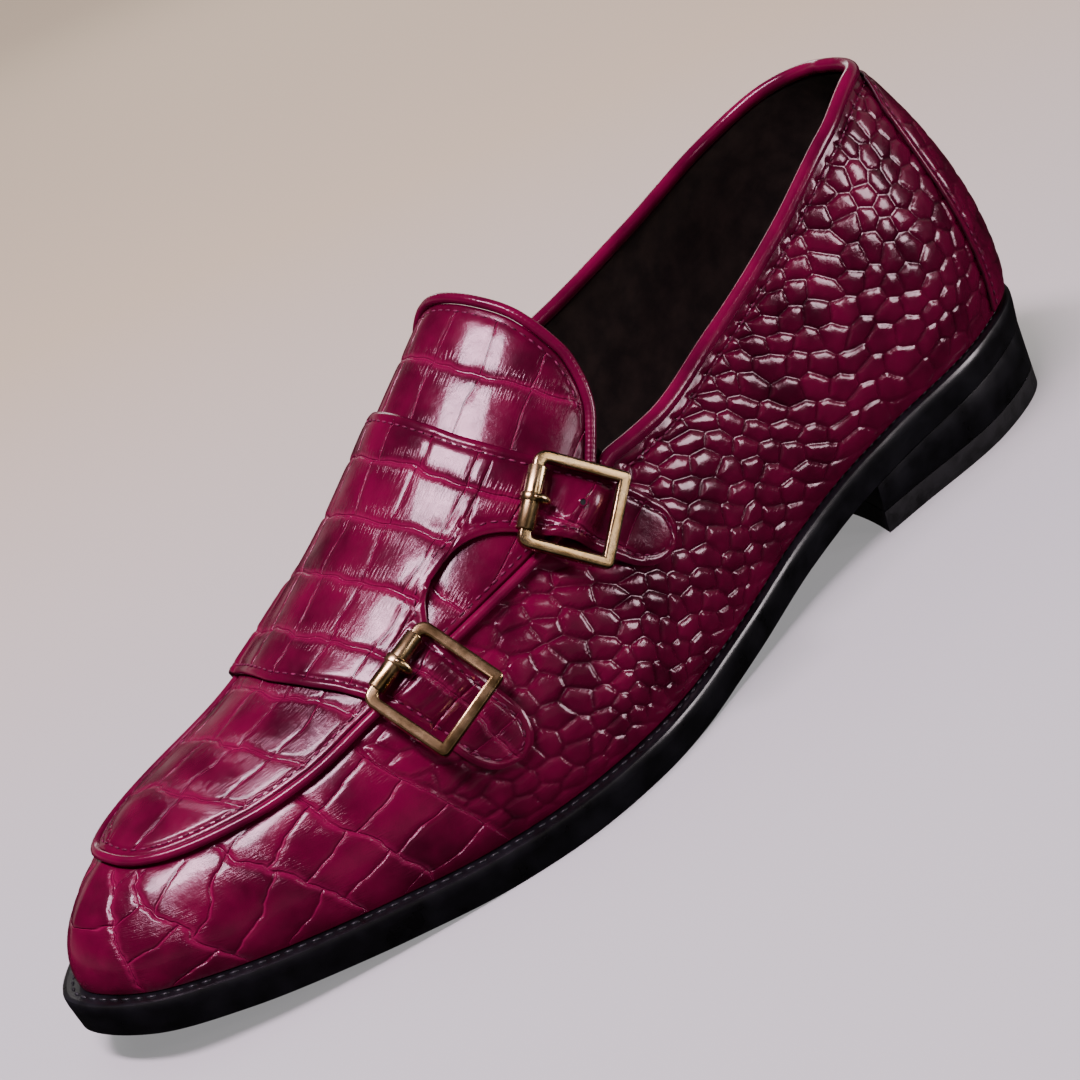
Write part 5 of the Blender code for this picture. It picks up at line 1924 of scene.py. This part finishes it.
# Uncoated studio paper: pale and flat, with no shine at all.
paper, paper_shader = new_material("pale_paper")
place = add(paper, "TexCoord")
reach = add(paper, "VectorMath", {0: place.outputs["Object"], 1: AWAY}, operation="DOT_PRODUCT")
far = add(paper, "MapRange", {"Value": reach.outputs["Value"], "From Min": 0.0, "From Max": 0.5})
tone = add(
    paper, "Mix", {"Factor": far.outputs["Result"], "A": colour("#8d8c8e"), "B": colour("#9a8b79")},
    data_type="RGBA",
)
fill_inputs(paper, paper_shader, {
    "Base Color": tone.outputs["Result"], "Emission Color": tone.outputs["Result"], "Roughness": 0.9,
    "Emission Strength": 1.0,
})
floor.data.materials.append(paper)
floor.visible_glossy = False
print("floor:", paper.name)

# %% [markdown]
# ## Light
#
# The leather is glossy, so what matters most is what it mirrors: a few large soft boxes, placed
# where the shoulders of the saddle, the toe and the heel throw their light towards the camera. A
# weak sun fills the shadows, and the sky is dark below, pale at eye level and dim above.

# %% Soft boxes
def link_light(name, data, place):
    light = bpy.data.objects.new(name, data)
    light.matrix_world = place
    bpy.context.scene.collection.objects.link(light)
    return light


def soft_box(name, place, target, length_way, length, width, watts, tint):
    """Area light at a place, turned to its target, with its long side along length_way."""
    back = (Vector(place) - Vector(target)).normalized()
    right = Vector(length_way)
    right = (right - back * right.dot(back)).normalized()
    data = bpy.data.lights.new(name, "AREA")
    data.shape = "RECTANGLE"
    data.size = length
    data.size_y = width
    data.energy = watts
    data.color = colour(tint)[:3]
    facing = Matrix((right, back.cross(right), back)).transposed().to_4x4()
    link_light(name, data, Matrix.Translation(place) @ facing).visible_camera = False


soft_box("top_box", (0.43, 0.18, 1.1), (0.04, 0.015, 0.06), (-0.25, 0.85, -0.1), 0.68, 0.15, 40, "#fde4f8")
soft_box("heel_box", (-0.86, 0.72, 0.03), (-0.05, 0.03, 0.06), (0, 0, 1), 0.34, 0.26, 11, "#fff2f8")
soft_box("side_box", (-0.3, 1.0, 0.50), (0, 0.03, 0.06), (1, 0, 0), 0.22, 0.12, 1.6, "#fff2f8")
soft_box("inner_box", (-0.6, -1.0, 0.35), (0, 0, 0.05), (1, 0, 0), 0.5, 0.2, 1.5, "#fffaf6")
room = bpy.data.lights.new("room_light", "SUN")
room.energy = 1.5
room.angle = math.radians(60)
link_light("room_light", room, Matrix.Rotation(math.radians(25), 4, "X")).visible_glossy = False
print("lights:", len(bpy.data.lights))

# %% [markdown]
# The sky is one ramp from straight down to straight up. It lights the shoe a little, and the
# leather's reflections show where it is pale and where it is dark.

# %% Sky
world = bpy.data.worlds.new("studio")
bpy.context.scene.world = world
world.use_nodes = True
way = add(world, "TexCoord")
split = add(world, "SeparateXYZ", {"Vector": way.outputs["Generated"]})
height = add(world, "MapRange", {"Value": split.outputs["Z"], "From Min": -1.0})
fade = add(world, "ValToRGB", {"Fac": height.outputs["Result"]})
fill_inputs(world, world.node_tree.nodes["Background"], {"Color": fade.outputs["Color"]})
stops = fade.color_ramp.elements
stops[0].position, stops[1].position = 0.49, 0.67
stops.new(0.5)
stops.new(0.56)
for stop, tint in zip(stops, ("#1c1a19", "#c3bab2", "#c3bab2", "#3d3937")):
    stop.color = colour(tint)
print("sky:", [round(stop.position, 2) for stop in stops])

# %% [markdown]
# ## Camera
#
# The camera looks down on the outer side and is turned about its own axis, so that the shoe climbs
# towards its heel across the picture. A long lens keeps the shoe's proportions true.

# %% Camera
CAMERA_PLACE = (0.278728, 0.480969, 0.27891)
CAMERA_TURN = (60.137, 23.215, -24.034)
LENS_MM = 86.67
SENSOR_MM = 36.0


def turn_camera(azimuth, elevation, roll):
    """World matrix of a camera that looks from that side, turned about its own axis."""
    a, e, r = (math.radians(v) for v in (azimuth, elevation, roll))
    back = Vector((math.cos(a) * math.cos(e), math.sin(a) * math.cos(e), math.sin(e)))
    right = Vector((0, 0, 1)).cross(back).normalized()
    up = back.cross(right)
    turned_right = right * math.cos(r) + up * math.sin(r)
    turned_up = up * math.cos(r) - right * math.sin(r)
    return Matrix((turned_right, turned_up, back)).transposed().to_4x4()


camera_data = bpy.data.cameras.new("camera")
camera_data.lens = LENS_MM
camera_data.sensor_width = SENSOR_MM
camera = bpy.data.objects.new("camera", camera_data)
camera.matrix_world = Matrix.Translation(CAMERA_PLACE) @ turn_camera(*CAMERA_TURN)
bpy.context.scene.collection.objects.link(camera)
bpy.context.scene.camera = camera
print("camera:", round(Vector(CAMERA_PLACE).length, 2), "m from the shoe's middle")
